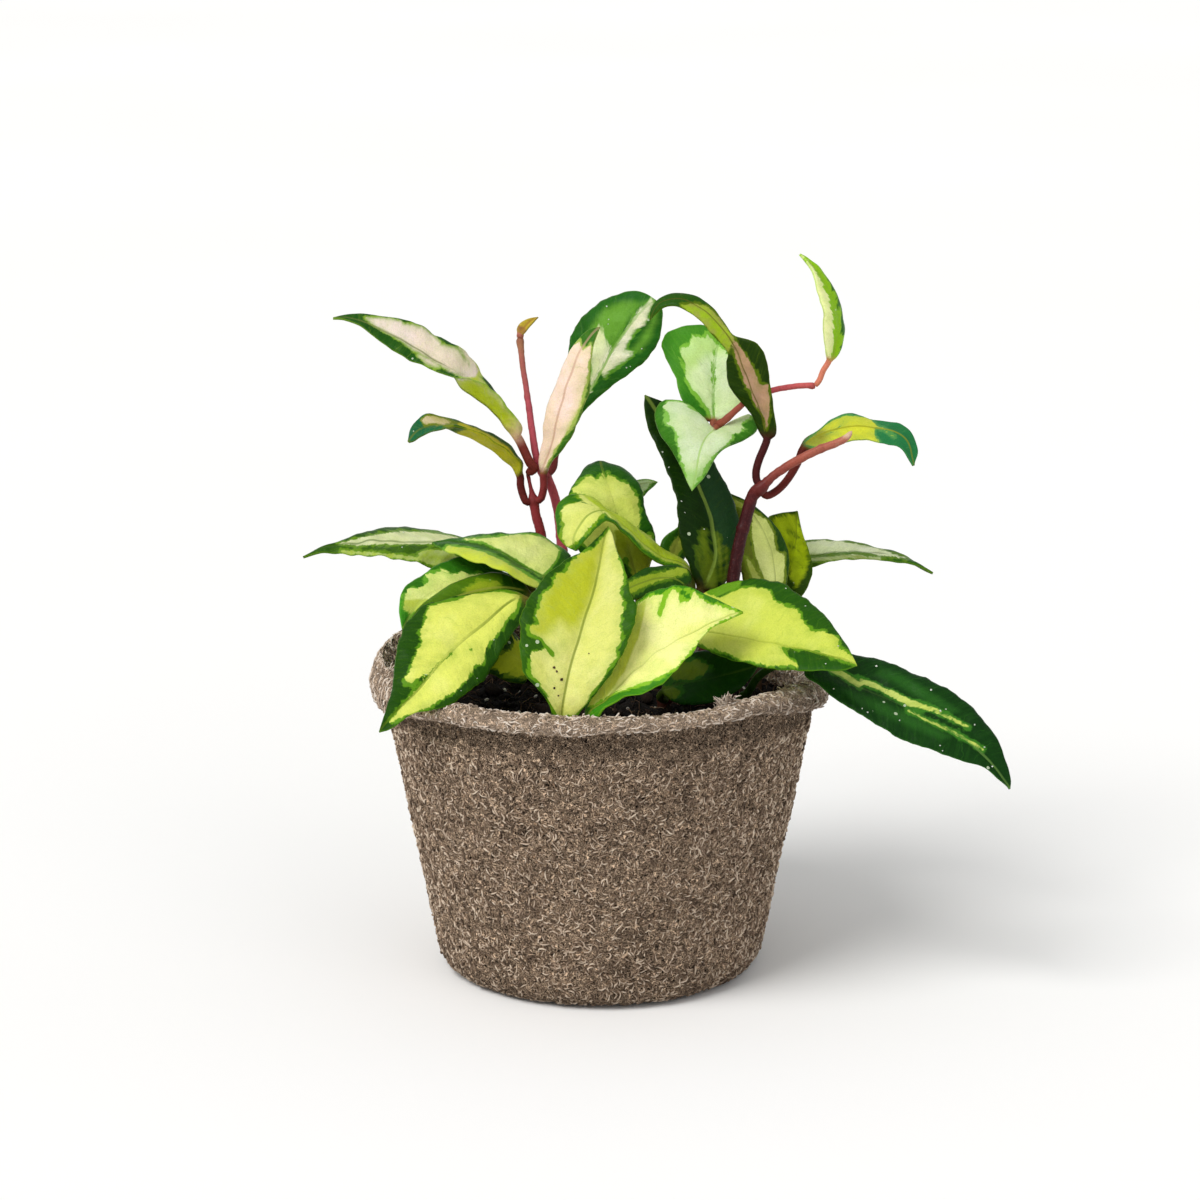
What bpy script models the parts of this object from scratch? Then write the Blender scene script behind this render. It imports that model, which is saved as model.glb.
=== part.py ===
"""Potted hoya: a young variegated wax plant in a moulded fibre pot.

Units are metres, +Z is up, the front faces -Y. The origin is the centre of the
pot's flat underside.

Leaf and stem paths are drawn on an upright sheet that leans back by SHEET_LEAN:
(across, down, out). Across and down are in sheet units, SHEET_UNITS_PER_MM to the
millimetre, with (600, 600) at the sheet's centre, SHEET_CENTRE_Z above the origin.
Out is in millimetres, towards the front. Lines of sight meet VIEW_DISTANCE in
front of the sheet, so a path that stands out is drawn smaller.
"""
import math

import bmesh
import bpy
import numpy as np
from mathutils import Vector

MM = 0.001

# ---- sheet -----------------------------------------------------------------
SHEET_LEAN = math.radians(14.5)
SHEET_UNITS_PER_MM = 4.163
SHEET_CENTRE_Z = 90.0
VIEW_DISTANCE = 900.0

# ---- pot, millimetres --------------------------------------------------------
POT_HEIGHT = 74.6
POT_FLOOR = 4.0
POT_INSIDE_RADIUS = 36.0
POT_INSIDE_TAPER = 0.19
POT_FOOT_RADIUS = 34.5
POT_BASE_RADIUS = 39.7
POT_NECK_RADIUS = 51.5
POT_NECK_HEIGHT = 65.5
POT_RIM_RADIUS = 54.6
POT_SEGMENTS = 60
DRAIN_HOLES = 4
DRAIN_HOLE_RADIUS = 3.5
DRAIN_HOLE_CIRCLE = 20.0

# ---- soil --------------------------------------------------------------------
SOIL_TOP = 66.5
GAP = 0.35
ROOT_DEPTH = 7.0
SOCKET_CLEARANCE = 0.45

# ---- leaves ------------------------------------------------------------------
STALK_RADIUS = 0.95
BLADE_HALF_THICKNESS = 0.45
LEAF_RINGS = 16
LEAF_SIDES = 10
STEM_STEP = 2.6

# Each leaf: root (across, out) if it grows straight out of the soil, mid = stalk and
# midrib, blade = index of the point where the blade starts, a and b = the two margins
# from the blade's base towards the tip, face = the side turned to the front at the
# share "seen" of the blade's length.
LEAVES = {
    "leaf_front_left": dict(
        mid=[(546, 628, 2.9), (539, 617, 5.5), (525, 600, 9), (508, 605, 11), (485, 624, 15), (462, 642, 19.5),
             (446, 657, 23), (431, 675, 27), (418, 690, 30), (402, 707, 33), (387, 722, 35.5), (379, 732, 36.5)],
        blade=2,
        a=[(519, 595, 8), (510, 592, 8), (498, 591, 8), (480, 592, 9), (459, 595, 11), (441, 601, 12.5),
           (430, 604, 13), (420, 609, 14), (412, 616, 16), (404, 625, 18), (400, 637, 20), (396, 655, 23),
           (393, 678, 26.5), (390, 696, 30), (383, 719, 35)],
        b=[(524, 606, 12), (522, 616, 14), (514, 632, 17.5), (504, 648, 20.5), (492, 668, 24.5), (482, 682, 27.5),
           (472, 690, 30), (462, 698, 32), (446, 706, 34.5), (431, 710, 36), (415, 714, 36.5), (402, 722, 37),
           (389, 730, 37)],
        colour=(0.62, 0.68, 0.16)),
    "leaf_left_edge": dict(
        mid=[(538.8, 613, 1), (534, 603, 2), (528, 595, 3), (515, 589, 4), (495, 588, 5.5), (465, 594, 8),
             (438, 606, 11), (418, 618, 13.5), (405, 628, 15)],
        blade=2,
        a=[(521, 583, 1.5), (505, 574, 2), (490, 572, 2.5), (478, 574, 3), (464, 578, 4), (449, 585, 6),
           (434, 595, 8.5), (417, 609, 12)],
        b=[(518, 601, 4.5), (500, 607, 5.5), (480, 614, 7.5), (460, 621, 9.5), (435, 629, 12), (417, 632, 14)],
        colour=(0.16, 0.30, 0.04)),
    "leaf_left_yellow": dict(
        mid=[(543.3, 601, -0.3), (537, 594, -2), (527, 588, -3), (505, 582, -3), (475, 580, -2), (445, 588, 1),
             (420, 602, 5), (402, 629, 10)],
        blade=2,
        a=[(516, 577, -5), (500, 570, -6), (482, 561, -6), (462, 557, -5), (439, 563, -2.5), (421, 576, 1),
           (404, 588, 4.5), (399, 611, 8.5)],
        b=[(513, 597, -1), (490, 602, 0.5), (462, 608, 3), (438, 616, 6), (418, 625, 8.5)],
        colour=(0.50, 0.60, 0.22)),
    "leaf_left_broad": dict(
        mid=[(548, 588, 1.5), (545, 581, 2), (530, 572, 1), (515, 563, 0), (500, 554, -1), (485, 548, -2),
             (470, 545, -3.5), (450, 543, -5.5), (432, 543, -7)],
        blade=1,
        a=[(560, 572, -4), (571, 557, -9), (556, 542, -12), (535, 535, -13.5), (505, 534, -13.5),
           (475, 536, -11.5), (455, 540, -9)],
        b=[(538, 588, 8), (522, 581, 10), (505, 573, 10.5), (488, 566.5, 9), (470, 559.5, 6), (452, 553, 2), (440, 548.5, -2)],
        colour=(0.66, 0.74, 0.28)),
    "leaf_far_left": dict(
        mid=[(536.2, 571, -17.8), (530, 566, -17.4), (520, 562, -16.5), (500, 556, -16), (470, 550, -15.5),
             (440, 545, -15), (400, 543, -14), (365, 543, -13), (340, 546, -12), (320, 549, -11), (303, 557, -10)],
        blade=2,
        a=[(505, 545, -22), (480, 540, -25), (459, 538, -26), (430, 530, -26.5), (397, 528, -25), (380, 529, -23),
           (360, 535, -18), (345, 540, -15.5), (325, 548, -12.5)],
        b=[(507, 567, -13), (485, 571, -11), (455, 571, -9), (428, 567, -7.5), (410, 561, -6.5), (380, 557, -7),
           (355, 555, -8.5), (325, 553, -10)],
        colour=(0.70, 0.78, 0.42)),
    "leaf_front_middle": dict(
        root=(570, 33.5),
        mid=[(565, 737, 37), (562, 716, 40.2), (566, 687, 41), (572, 661, 40.5), (579, 639, 39.5), (585, 618, 37.5),
             (593, 595, 34), (599, 568, 30), (604, 542, 26), (608, 526, 24)],
        blade=0,
        a=[(557, 726, 39.6), (549, 706, 41.6), (541, 693, 43), (533, 684, 43.5), (524, 673, 44), (520, 655, 44),
           (520, 637, 43.5), (520, 619, 42), (523, 610, 41), (527, 600, 39.5), (537, 586, 37.5), (545, 577, 36),
           (565, 560, 33), (585, 549, 29.5), (595, 540, 27), (603, 532, 25)],
        b=[(571, 726, 40.3), (579, 714, 41.8), (589, 702, 43), (599, 690, 44), (611, 674, 44.5), (621, 657, 44.5),
           (629, 639, 44), (635, 622, 42.5), (637, 610, 41), (630, 590, 38), (625, 570, 34), (617, 550, 29.5),
           (612, 533, 25.5)],
        colour=(0.68, 0.72, 0.16)),
    "leaf_front_right": dict(
        root=(584, 33.5),
        mid=[(584, 737, 38), (588, 724, 40), (592, 712, 41), (604, 703, 41.5), (622, 684, 41), (648, 660, 39.5),
             (668, 646, 38), (700, 630, 35), (735, 615, 32), (743, 612, 31.5)],
        blade=1,
        a=[(588, 700, 38), (596, 682, 36), (606, 656, 34), (616, 630, 32), (634, 602, 30), (650, 592, 29.5),
           (670, 587, 29), (690, 587, 28.5), (708, 594, 28.5), (722, 602, 29), (737, 609, 30.5)],
        b=[(595, 720, 42.5), (606, 707, 44), (622, 699, 45), (640, 695, 46), (656, 686, 46), (668, 679, 45.5),
           (682, 664, 44), (691, 655, 43), (699, 642, 41), (709, 631, 38.5), (724, 622, 35), (736, 616, 32.5)],
        colour=(0.86, 0.84, 0.42)),
    "leaf_right_wide": dict(
        mid=[(679, 645, 8), (681, 637, 10.5), (685, 629, 13), (706, 632, 17), (745, 639, 22), (790, 647, 28),
             (830, 656, 33), (857, 665, 36)],
        blade=2,
        a=[(686, 611, 11), (700, 594, 10), (722, 584, 10.5), (742, 580, 11.5), (762, 580, 13), (780, 583, 15),
           (797, 592, 18), (814, 605, 21), (831, 623, 26), (847, 645, 31.5)],
        b=[(692, 644, 19), (708, 651.5, 23), (735, 661, 28), (765, 668, 32), (795, 671, 35), (825, 671.5, 36.5),
           (845, 670, 37)],
        colour=(0.60, 0.68, 0.16)),
    "leaf_right_hanging": dict(
        root=(740, 2),
        mid=[(748, 692, 4.5), (758, 677, 8), (775, 666, 12), (795, 662, 15.5), (806, 663, 17), (830, 672, 19),
             (870, 693, 22), (900, 705, 24), (920, 717, 25), (950, 731, 26), (983, 755, 26.5), (1010, 789, 26)],
        blade=4,
        a=[(814, 652, 14.5), (832, 648, 14), (851, 653, 14), (875, 659, 15), (900, 667, 17), (930, 680, 19),
           (960, 697, 21), (980, 715, 23), (998, 740, 24.5), (1007, 765, 25.5), (1011, 780, 26)],
        b=[(806, 675, 20), (820, 686, 23), (835, 698, 25), (855, 711, 27), (875, 724, 28.5), (900, 738, 29.5),
           (930, 750, 29.5), (960, 760, 29), (985, 768, 28), (998, 779, 27)],
        colour=(0.02, 0.10, 0.02)),
    "leaf_soil_right": dict(
        mid=[(664, 700, 8.3), (660, 697, 10.5), (664, 692, 12.5), (680, 685, 14.5), (705, 680, 16), (732, 674, 16.5),
             (758, 666, 16)],
        blade=2,
        a=[(664, 676, 10), (676, 662, 9.6), (692, 653, 9.8), (712, 648, 10.6), (735, 652, 12.4), (750, 659, 14.4)],
        b=[(672, 701, 17), (690, 706, 19), (715, 702, 20), (738, 690, 19), (751, 678, 17.5)],
        colour=(0.03, 0.09, 0.01)),
    "leaf_soil_left": dict(
        mid=[(545, 688, 3), (537, 678, 5.5), (529, 668, 8), (515, 656, 10), (500, 648, 11), (480, 645, 12),
             (465, 648, 12.5)],
        blade=2,
        a=[(528, 648, 4), (515, 633, 5), (495, 627, 7), (478, 631, 9.5)],
        b=[(524, 684, 11), (508, 683, 13.5), (492, 675, 14.5), (475, 662, 14)],
        colour=(0.22, 0.26, 0.03)),
    "leaf_upper_left": dict(
        mid=[(534, 469, -16), (530, 463, -15), (524, 450, -14), (518, 438, -13.5), (507, 425, -12), (498, 415, -11.5),
             (480, 400, -10.5), (463, 385, -9.5), (448, 370, -9), (420, 352, -8.5), (380, 330, -8.5),
             (350, 319, -9), (333, 318, -9.5)],
        blade=3,
        a=[(520, 426, -17), (508, 410, -18), (497, 394, -18.5), (483, 376, -18), (472, 360, -17), (460, 347, -15.5),
           (440, 337, -14), (420, 326, -13), (400, 319, -12), (375, 315, -11), (355, 314, -10.5), (343, 316, -10)],
        b=[(521, 427, -10), (510, 412, -8), (500, 397, -6.5), (485, 384, -5), (471, 379, -4), (460, 378, -4),
           (450, 376, -4.5), (440, 373, -5), (420, 365, -5.5), (400, 355, -6), (380, 341, -6.5), (360, 326, -7.5),
           (345, 320, -8.5)],
        stalk=1.1, seen=0.75, colour=(0.80, 0.62, 0.50)),
    "leaf_small_left": dict(
        mid=[(526.6, 502, -17.5), (523, 495, -17.5), (520.5, 485, -17), (520, 476, -16.5), (513, 467, -15.5),
             (500, 456, -14.5), (490, 448, -14), (478, 441, -13.5), (460, 433, -13), (445, 428, -12.5),
             (430, 427, -12), (418, 432, -11.5), (408, 442, -11)],
        blade=3,
        a=[(523, 462, -19), (512, 448, -20), (497, 437, -20), (477, 427, -19), (455, 421, -17.5), (440, 417, -16),
           (427, 414, -14.5), (416, 420, -13), (410, 430, -12)],
        b=[(521, 464, -12.5), (510, 451, -10.5), (495, 441, -9), (475, 431, -8.5), (455, 428, -8.5),
           (440, 430, -8.5), (430, 432, -9), (421, 437, -9.5), (413, 442, -10.5)],
        seen=0.8, colour=(0.40, 0.40, 0.08)),
    "leaf_bud": dict(
        mid=[(520.5, 334, -16), (524, 329, -16), (531, 321, -15.5), (538, 317, -15)],
        blade=0,
        a=[(517, 331, -16.5), (519, 325, -16.5), (525, 320, -16), (531, 318, -15.5)],
        b=[(524, 334, -15.5), (529, 328, -15), (534, 322, -14.8)],
        stalk=0.9, half=0.35, colour=(0.40, 0.30, 0.03)),
    "leaf_pink": dict(
        mid=[(540.2, 499.5, -17.2), (542.5, 494, -17), (543.8, 486, -16.5), (543.5, 474, -16), (546, 463, -15),
             (552, 445, -13), (557, 425, -11), (562, 405, -9.5), (568, 385, -8), (574, 368, -7), (579, 355, -6.5),
             (592, 335, -6), (600, 327, -6)],
        blade=3,
        a=[(540, 462, -15.5), (540, 452, -15), (543, 435, -14.5), (547, 410, -13), (553, 390, -11.5), (562, 368, -9.5),
           (572, 348, -8), (579, 338, -7.2), (586, 331, -6.6), (593, 328, -6.2)],
        b=[(549, 464, -14.5), (557, 456, -11.5), (565, 446, -9.5), (575, 430, -8), (581, 416, -7), (585, 405, -6.5),
           (588, 392, -6), (590, 375, -5.2), (592, 358, -5), (595, 342, -5.2), (598, 333, -5.6)],
        colour=(0.85, 0.58, 0.46)),
    "leaf_upper_middle": dict(
        mid=[(553, 468, -20.5), (555, 455, -20.5), (561, 437, -20), (568, 421, -19.5), (578, 405, -19),
             (590, 390, -18.5), (600, 375, -18), (610, 355, -17), (620, 340, -16), (632, 323, -15),
             (645, 308, -14), (656, 300, -13.5)],
        blade=2,
        a=[(561, 422, -21), (562, 400, -22), (564, 372, -22.5), (568, 350, -22.5), (574, 330, -22), (582, 318, -21.5),
           (595, 305, -20.5), (610, 297, -19), (630, 291, -17), (645, 293, -15)],
        b=[(572, 428, -19), (583, 413, -17.5), (596, 400, -16.5), (612, 386, -15.5), (630, 373, -15),
           (646, 360, -15), (657, 345, -15), (662, 325, -15), (662, 309, -14.5)],
        colour=(0.14, 0.32, 0.08)),
    "leaf_arching": dict(
        mid=[(757, 481, 0.8), (756, 472, 0.8), (759, 460, 0.8), (764, 448, 0.8), (767, 439, 0.8), (766, 428, 1),
             (760, 408, 2), (752, 388, 3.5), (744, 368, 5), (737, 350, 6.2), (728, 336, 6.6), (716, 322.5, 6.6),
             (702, 310, 6.2), (686, 301, 5.6), (670, 300, 5.2), (658, 305, 4.9), (650, 320, 4.5)],
        blade=4,
        a=[(761, 431, 0.5), (754, 418, 0.5), (742, 403, 0.8), (730, 388, 1.6), (726.5, 373, 2.8), (726.5, 362, 4.2),
           (728, 354, 5.4), (722, 345, 6.6), (712, 334, 7.6), (702, 323, 7.8), (693, 315, 7.6), (681, 308, 7),
           (667, 306.5, 6.2), (657, 313, 5.2)],
        b=[(773, 436, 2), (775, 428, 3), (774, 415, 4.5), (772, 400, 6), (770, 380, 7.6), (768, 364, 8.6),
           (762.5, 350, 9), (754, 341.4, 8.6), (743, 338, 7.6), (733.6, 335, 6.6), (725, 323.5, 5.4), (714.8, 310.5, 4.4),
           (702, 298.5, 3.8), (690, 294.5, 3.4), (672, 293.5, 3.4), (659, 299, 3.8), (651, 309, 4.2)],
        seen=0.25, rings=22, colour=(0.10, 0.16, 0.03)),
    "leaf_pale_rear": dict(
        mid=[(713, 421, -6), (713, 412, -7), (713, 395, -9), (714, 365, -13), (718, 345, -16), (724, 334, -18)],
        blade=0,
        a=[(706, 421, -5.5), (694, 412, -5.5), (683, 402, -6), (675, 378, -9), (665, 355, -12), (661, 342, -14),
           (668, 332, -15.5), (682, 327, -16.5), (700, 325, -17.5), (714, 328, -18)],
        b=[(724, 422, -7), (737, 414, -7.5), (748, 402, -9), (754, 385, -11), (755, 365, -13.5), (748, 348, -16),
           (738, 339, -17.5)],
        stalk=0.8, colour=(0.62, 0.74, 0.54)),
    "leaf_heart": dict(
        mid=[(714, 430.5, 0.9), (711, 433, 2), (706, 438, 3.5), (701, 448, 5.5), (698, 460, 7), (696, 475, 8.5),
             (692, 491, 9)],
        blade=0,
        a=[(708, 424, -0.5), (698, 412, -2), (684, 402, -2.5), (667, 400, -2), (657, 407, -1), (654, 415, 0),
           (659, 433, 1.5), (670, 448, 3.5), (681, 468, 6), (688, 484, 8.5)],
        b=[(720, 431.5, -1.2), (733, 424.5, -4.2), (746, 415, -5), (757, 420, -4), (759, 428, -2), (748, 438, 1),
           (730, 446, 3), (718, 455, 5), (710, 468, 6.5), (704, 478, 8)],
        stalk=0.8, colour=(0.66, 0.80, 0.56)),
    "leaf_tall_dark": dict(
        mid=[(700, 589, -0.8), (705, 582, -1), (711, 570, -1.5), (715, 555, -2), (714, 543, -2.5), (709, 517, -3.5),
             (698, 488, -4.5), (685, 462, -5.5), (670, 435, -6), (655, 410, -6), (645, 395, -6)],
        blade=0,
        a=[(694, 578, 0.8), (687, 562, 2), (682, 549, 2.2), (679, 536, 2), (678, 521, 1.2), (676, 499, 0),
           (672, 483, -1), (667, 470, -2), (658, 450, -3.5), (649, 430, -4.5), (644, 407, -5.5)],
        b=[(714, 592, -2), (727, 580, -3.5), (735, 560, -4.5), (740, 535, -5), (740, 521, -5.5), (736, 508, -6),
           (731, 495, -6.5), (723, 480, -7), (716, 465, -7.2), (704, 444, -7.4), (688, 422, -7.4), (668, 404, -7)],
        colour=(0.02, 0.07, 0.01)),
    "leaf_right_curled": dict(
        mid=[(766.5, 495.5, -0.6), (775, 492, -1.8), (783, 485, -2.6), (790, 476, -3), (798, 462, -3.2), (803, 449, -3.5),
             (814, 439, -3.5), (835, 431, -3), (855, 428, -2), (875, 430, -0.5), (893, 433, 1), (906, 443, 2),
             (913, 466, 3)],
        blade=5,
        a=[(806, 440, -5), (820, 429, -6.5), (832, 419, -7.5), (850, 413, -7.5), (870, 418, -6.5), (885, 421, -5),
           (900, 424, -3), (912, 433, -0.5), (918, 452, 1.5)],
        b=[(815, 449, -3), (835, 446, -0.8), (855, 441, 2), (870, 440, 4), (888, 444, 5), (900, 448, 4.5),
           (908, 458, 4)],
        face="under", seen=0.4, colour=(0.50, 0.52, 0.05)),
    "leaf_top_right": dict(
        mid=[(819.5, 380, -5.4), (823, 371, -5.2), (829, 361, -5), (835, 342, -4.5), (838, 322, -4),
             (832, 300, -3.5), (822, 281, -3), (811, 266, -3), (800, 254, -3)],
        blade=2,
        a=[(826, 352, -3), (824, 330, -1), (820, 305, 0), (816, 285, 0), (812, 271, -1), (806, 261, -2)],
        b=[(836, 356, -6), (841, 345, -7), (844, 330, -8), (843, 315, -8), (838, 300, -7.5), (829, 282, -6.5),
           (820, 269, -5.5), (810, 260, -4)],
        stalk=0.7, colour=(0.80, 0.80, 0.30)),
    "leaf_far_right": dict(
        mid=[(768, 596, -21.8), (770, 584, -24), (777, 572, -26.5), (790, 563, -28), (812, 557, -28.5),
             (835, 554, -28), (860, 553, -27.5), (900, 558, -26.5), (933, 573, -25)],
        blade=2,
        a=[(786, 552, -34), (808, 540, -37), (835, 541, -38), (860, 545, -37.5), (880, 550, -35.5),
           (905, 558, -31), (920, 566, -28)],
        b=[(793, 572, -26), (812, 568, -24), (830, 562, -23), (850, 559, -22.5), (890, 561, -22.5),
           (915, 565, -23.5)],
        colour=(0.62, 0.74, 0.52)),
    "leaf_behind_stem": dict(
        mid=[(739, 620, -2.3), (750, 622, -4), (765, 615, -7), (772, 600, -9), (774, 580, -10), (770, 552, -10.5),
             (761, 530, -11), (747, 509, -12), (729, 493, -13)],
        blade=3,
        a=[(752, 598, -8.5), (743, 578, -8), (738, 553, -8.2), (734, 528, -9.5), (729, 506, -12)],
        b=[(784, 592, -11), (789, 570, -12), (789, 553, -12.5), (784, 539, -13), (777, 527, -13), (767, 517, -13),
           (757, 508, -13), (745, 500, -13), (736, 496, -13)],
        colour=(0.50, 0.58, 0.18)),
    "leaf_underside_right": dict(
        mid=[(773, 597, -19), (780, 590, -18.5), (787, 580, -18), (792, 560, -18), (795, 545, -18), (797, 530, -18.5),
             (797.5, 511, -19)],
        blade=1,
        a=[(775, 580, -20.5), (766, 565, -22), (763, 545, -23), (764, 528, -23), (768, 517, -23), (782, 513, -21.5)],
        b=[(792, 600, -17), (803, 595, -16.5), (811, 578, -16.5), (812, 565, -17), (809, 550, -17.5),
           (804, 537, -18), (800, 524, -18.5)],
        face="under", colour=(0.26, 0.34, 0.03)),
    "leaf_round_top": dict(
        mid=[(640, 604, -9.5), (638, 596, -9.3), (636, 582, -9), (628, 550, -8), (618, 520, -8), (608, 490, -9.5),
             (602, 470, -13), (600, 462, -18), (602, 467, -23), (604, 476, -26)],
        blade=2,
        a=[(615, 573, -6), (588, 558, -4), (567, 535, -3.5), (564, 512, -5), (570, 490, -8.5), (580, 474, -13.5),
           (590, 466, -19), (597, 468, -23)],
        b=[(648, 570, -9.5), (656, 548, -10), (652, 527, -10.5), (646, 512, -11), (643, 495, -12.5),
           (635, 479, -16.5), (622, 467, -21), (611, 469, -24.5)],
        seen=0.4, colour=(0.56, 0.66, 0.14)),
    "leaf_bent_over": dict(
        mid=[(693, 599, -3), (692, 588, -4.5), (690, 576, -5), (683, 567, -4.5), (660, 556, -2.5), (638, 541, -0.5),
             (618, 523, 1.5), (603, 513, 3.5), (590, 516, 6), (580, 527, 8), (574, 540, 9.5), (576, 551, 10.5)],
        blade=2,
        a=[(683, 560, -8), (662, 549, -7.5), (642, 533, -6), (622, 516, -4), (602, 504, -1.5), (588, 497.5, 0.5),
           (575, 494.5, 2.5), (563, 498, 4.5), (555.5, 509, 6), (555.5, 522, 7.5), (558, 537, 9), (567, 547, 10)],
        b=[(683, 573, -1.5), (674, 569, -0.5), (659, 564, 1), (644, 553, 3), (632, 541, 4.5), (621, 529, 6.2),
           (613, 521, 7.8), (606, 519, 9),
           (597, 528, 10.5), (588, 538, 11.5), (580, 547, 11.5)],
        seen=0.85, rings=20, colour=(0.30, 0.40, 0.05)),
    "leaf_back_tip": dict(
        mid=[(640, 606, -14), (636, 590, -20), (626, 565, -26), (617, 540, -29.5), (614, 515, -32), (621, 497, -33),
             (638, 486, -33), (658, 482, -33)],
        blade=2,
        a=[(605, 545, -28.5), (599, 520, -31.5), (605, 498, -34), (622, 484, -35), (645, 479, -34.5)],
        b=[(632, 548, -29), (633, 527, -30.5), (637, 508, -31.5), (646, 494, -32), (653, 487, -32.5)],
        face="under", colour=(0.50, 0.60, 0.40)),
    "leaf_small_middle": dict(
        mid=[(681, 627, 1.2), (676, 612, -4), (671, 590, -9), (670, 574, -11.5), (671, 560, -12.5), (677, 540, -13.5),
             (688, 518, -14.5), (700, 498, -15.5)],
        blade=3,
        a=[(661, 560, -11), (660, 545, -11.5), (666, 536, -12), (678, 527, -13), (690, 510, -14.5)],
        b=[(682, 562, -14.5), (694, 542, -16.5), (703, 522, -17), (705, 506, -16.5)],
        colour=(0.26, 0.34, 0.05)),
    "leaf_low_middle": dict(
        mid=[(686, 608, 3.2), (685, 599, 5), (684, 589, 6.2), (677, 581, 6.8), (660, 579, 7.4), (640, 584, 9),
             (620, 594, 10.5), (602, 607, 12)],
        blade=2,
        a=[(692, 580, 5.2), (690, 571, 4.8), (681, 566, 4.6), (664, 565, 4.8), (646, 569, 6), (628, 579, 8)],
        b=[(681, 591, 8.5), (662, 592, 10), (642, 597, 12), (620, 605, 13)],
        colour=(0.26, 0.34, 0.03)),
}

# Each stem: root (across, out), path above the soil, radii in millimetres from the
# root's end to the tip.
STEMS = {
    "stem_left": dict(
        root=(549, -17), path=[(547, 640, -17.5), (544, 580, -18), (541, 535, -18), (536, 515, -18),
                               (533.5, 501, -18), (531, 489, -17.5), (527.5, 473, -17)],
        radii=[1.5, 1.5, 1.45, 1.35, 1.25, 1.15, 1.1, 0.5, 0.4], colour=(0.16, 0.03, 0.03)),
    "stem_left_rear": dict(
        root=(573, -22), path=[(568, 620, -22), (563, 560, -22), (558, 512, -22), (552.5, 490, -21.5),
                               (547, 478, -20.5), (541, 471, -19), (537.5, 462, -17.5), (534, 444, -17),
                               (530, 415, -17), (526, 387, -17), (522, 360, -16.5), (520, 338, -16.3)],
        radii=[1.3, 1.3, 1.3, 1.25, 1.15, 1.1, 1.05, 1.0, 0.95, 0.88, 0.8, 0.7, 0.72, 0.88],
        colour=(0.50, 0.12, 0.15)),
    "stem_right": dict(
        root=(727, 0), path=[(728, 660, 0), (731, 600, 0), (738, 550, 0), (746, 518, 0), (754, 494, 0.5),
                             (762, 487, 1.2), (772, 477, 1.6), (786, 467, 2), (800, 459, 2.4), (818, 450, 3),
                             (835, 443.5, 3.8), (846, 438, 4.6), (852, 431, 5)],
        radii=[1.8, 1.8, 1.7, 1.6, 1.5, 1.5, 1.5, 1.15, 1.05, 1.05, 1.05, 1.0, 0.95, 0.85, 0.5],
        colour=(0.09, 0.02, 0.02)),
    "stem_right_rear": dict(
        root=(704, -12), path=[(704, 640, -12), (706, 580, -12), (707, 530, -12), (706, 490, -11.5),
                               (707, 462, -9.5), (710, 446, -7.5), (713.5, 433, -4.2), (718, 425.5, -0.9),
                               (727.5, 418, 0.9), (740, 406.5, -0.4), (752, 398, -2.2), (770, 391, -3.6), (790, 387, -4.6),
                               (806, 385.5, -5.2), (815, 386, -5.5)],
        radii=[1.3, 1.3, 1.3, 1.2, 1.1, 1.05, 1.0, 0.95, 0.9, 0.85, 0.8, 0.75, 0.7, 0.7, 0.7, 0.7, 0.75],
        colour=(0.50, 0.12, 0.15)),
    "stem_front_left": dict(
        root=(555, 0), path=[(553, 675, 0.6), (549, 640, 1.2), (548, 596, 1.3)],
        radii=[1.4, 1.4, 1.35, 1.3, 1.2], colour=(0.16, 0.10, 0.03)),
    "stem_middle": dict(
        root=(664, 5), path=[(668, 690, 5.4), (676, 655, 6), (688, 618, 3.5), (697, 598, 0)],
        radii=[1.5, 1.5, 1.45, 1.4, 1.3, 1.1], colour=(0.16, 0.10, 0.03)),
    "stem_back": dict(
        root=(644, -13), path=[(643, 655, -12.5), (641, 613, -10.5)],
        radii=[1.4, 1.4, 1.35, 1.2], colour=(0.16, 0.10, 0.03)),
    "stem_far_right": dict(
        root=(757, -19), path=[(761, 650, -20), (768, 606, -20)],
        radii=[1.3, 1.3, 1.25, 1.1], colour=(0.16, 0.10, 0.03)),
}

RIGHT = np.array([1.0, 0.0, 0.0])
UP = np.array([0.0, math.sin(SHEET_LEAN), math.cos(SHEET_LEAN)])
OUT = np.array([0.0, -math.cos(SHEET_LEAN), math.sin(SHEET_LEAN)])


# ---- sheet and curves --------------------------------------------------------
def from_sheet(points):
    """Sheet points to millimetres in the part's frame."""
    p = np.asarray(points, float).reshape(-1, 3)
    k = (VIEW_DISTANCE - p[:, 2]) / VIEW_DISTANCE / SHEET_UNITS_PER_MM
    across = (p[:, 0] - 600.0) * k
    up = (600.0 - p[:, 1]) * k
    world = across[:, None] * RIGHT + up[:, None] * UP + p[:, 2, None] * OUT
    world[:, 2] += SHEET_CENTRE_Z
    return world


def root_points(root):
    """The straight buried end: one point under the soil's top and one just over it."""
    across, out = root
    k = (VIEW_DISTANCE - out) / VIEW_DISTANCE / SHEET_UNITS_PER_MM
    points = []
    for z in (SOIL_TOP - ROOT_DEPTH, SOIL_TOP + 1.0):
        up = (z - SHEET_CENTRE_Z - OUT[2] * out) / UP[2]
        point = (across - 600.0) * k * RIGHT + up * UP + out * OUT
        point[2] += SHEET_CENTRE_Z
        points.append(point)
    return np.array(points)


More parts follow.
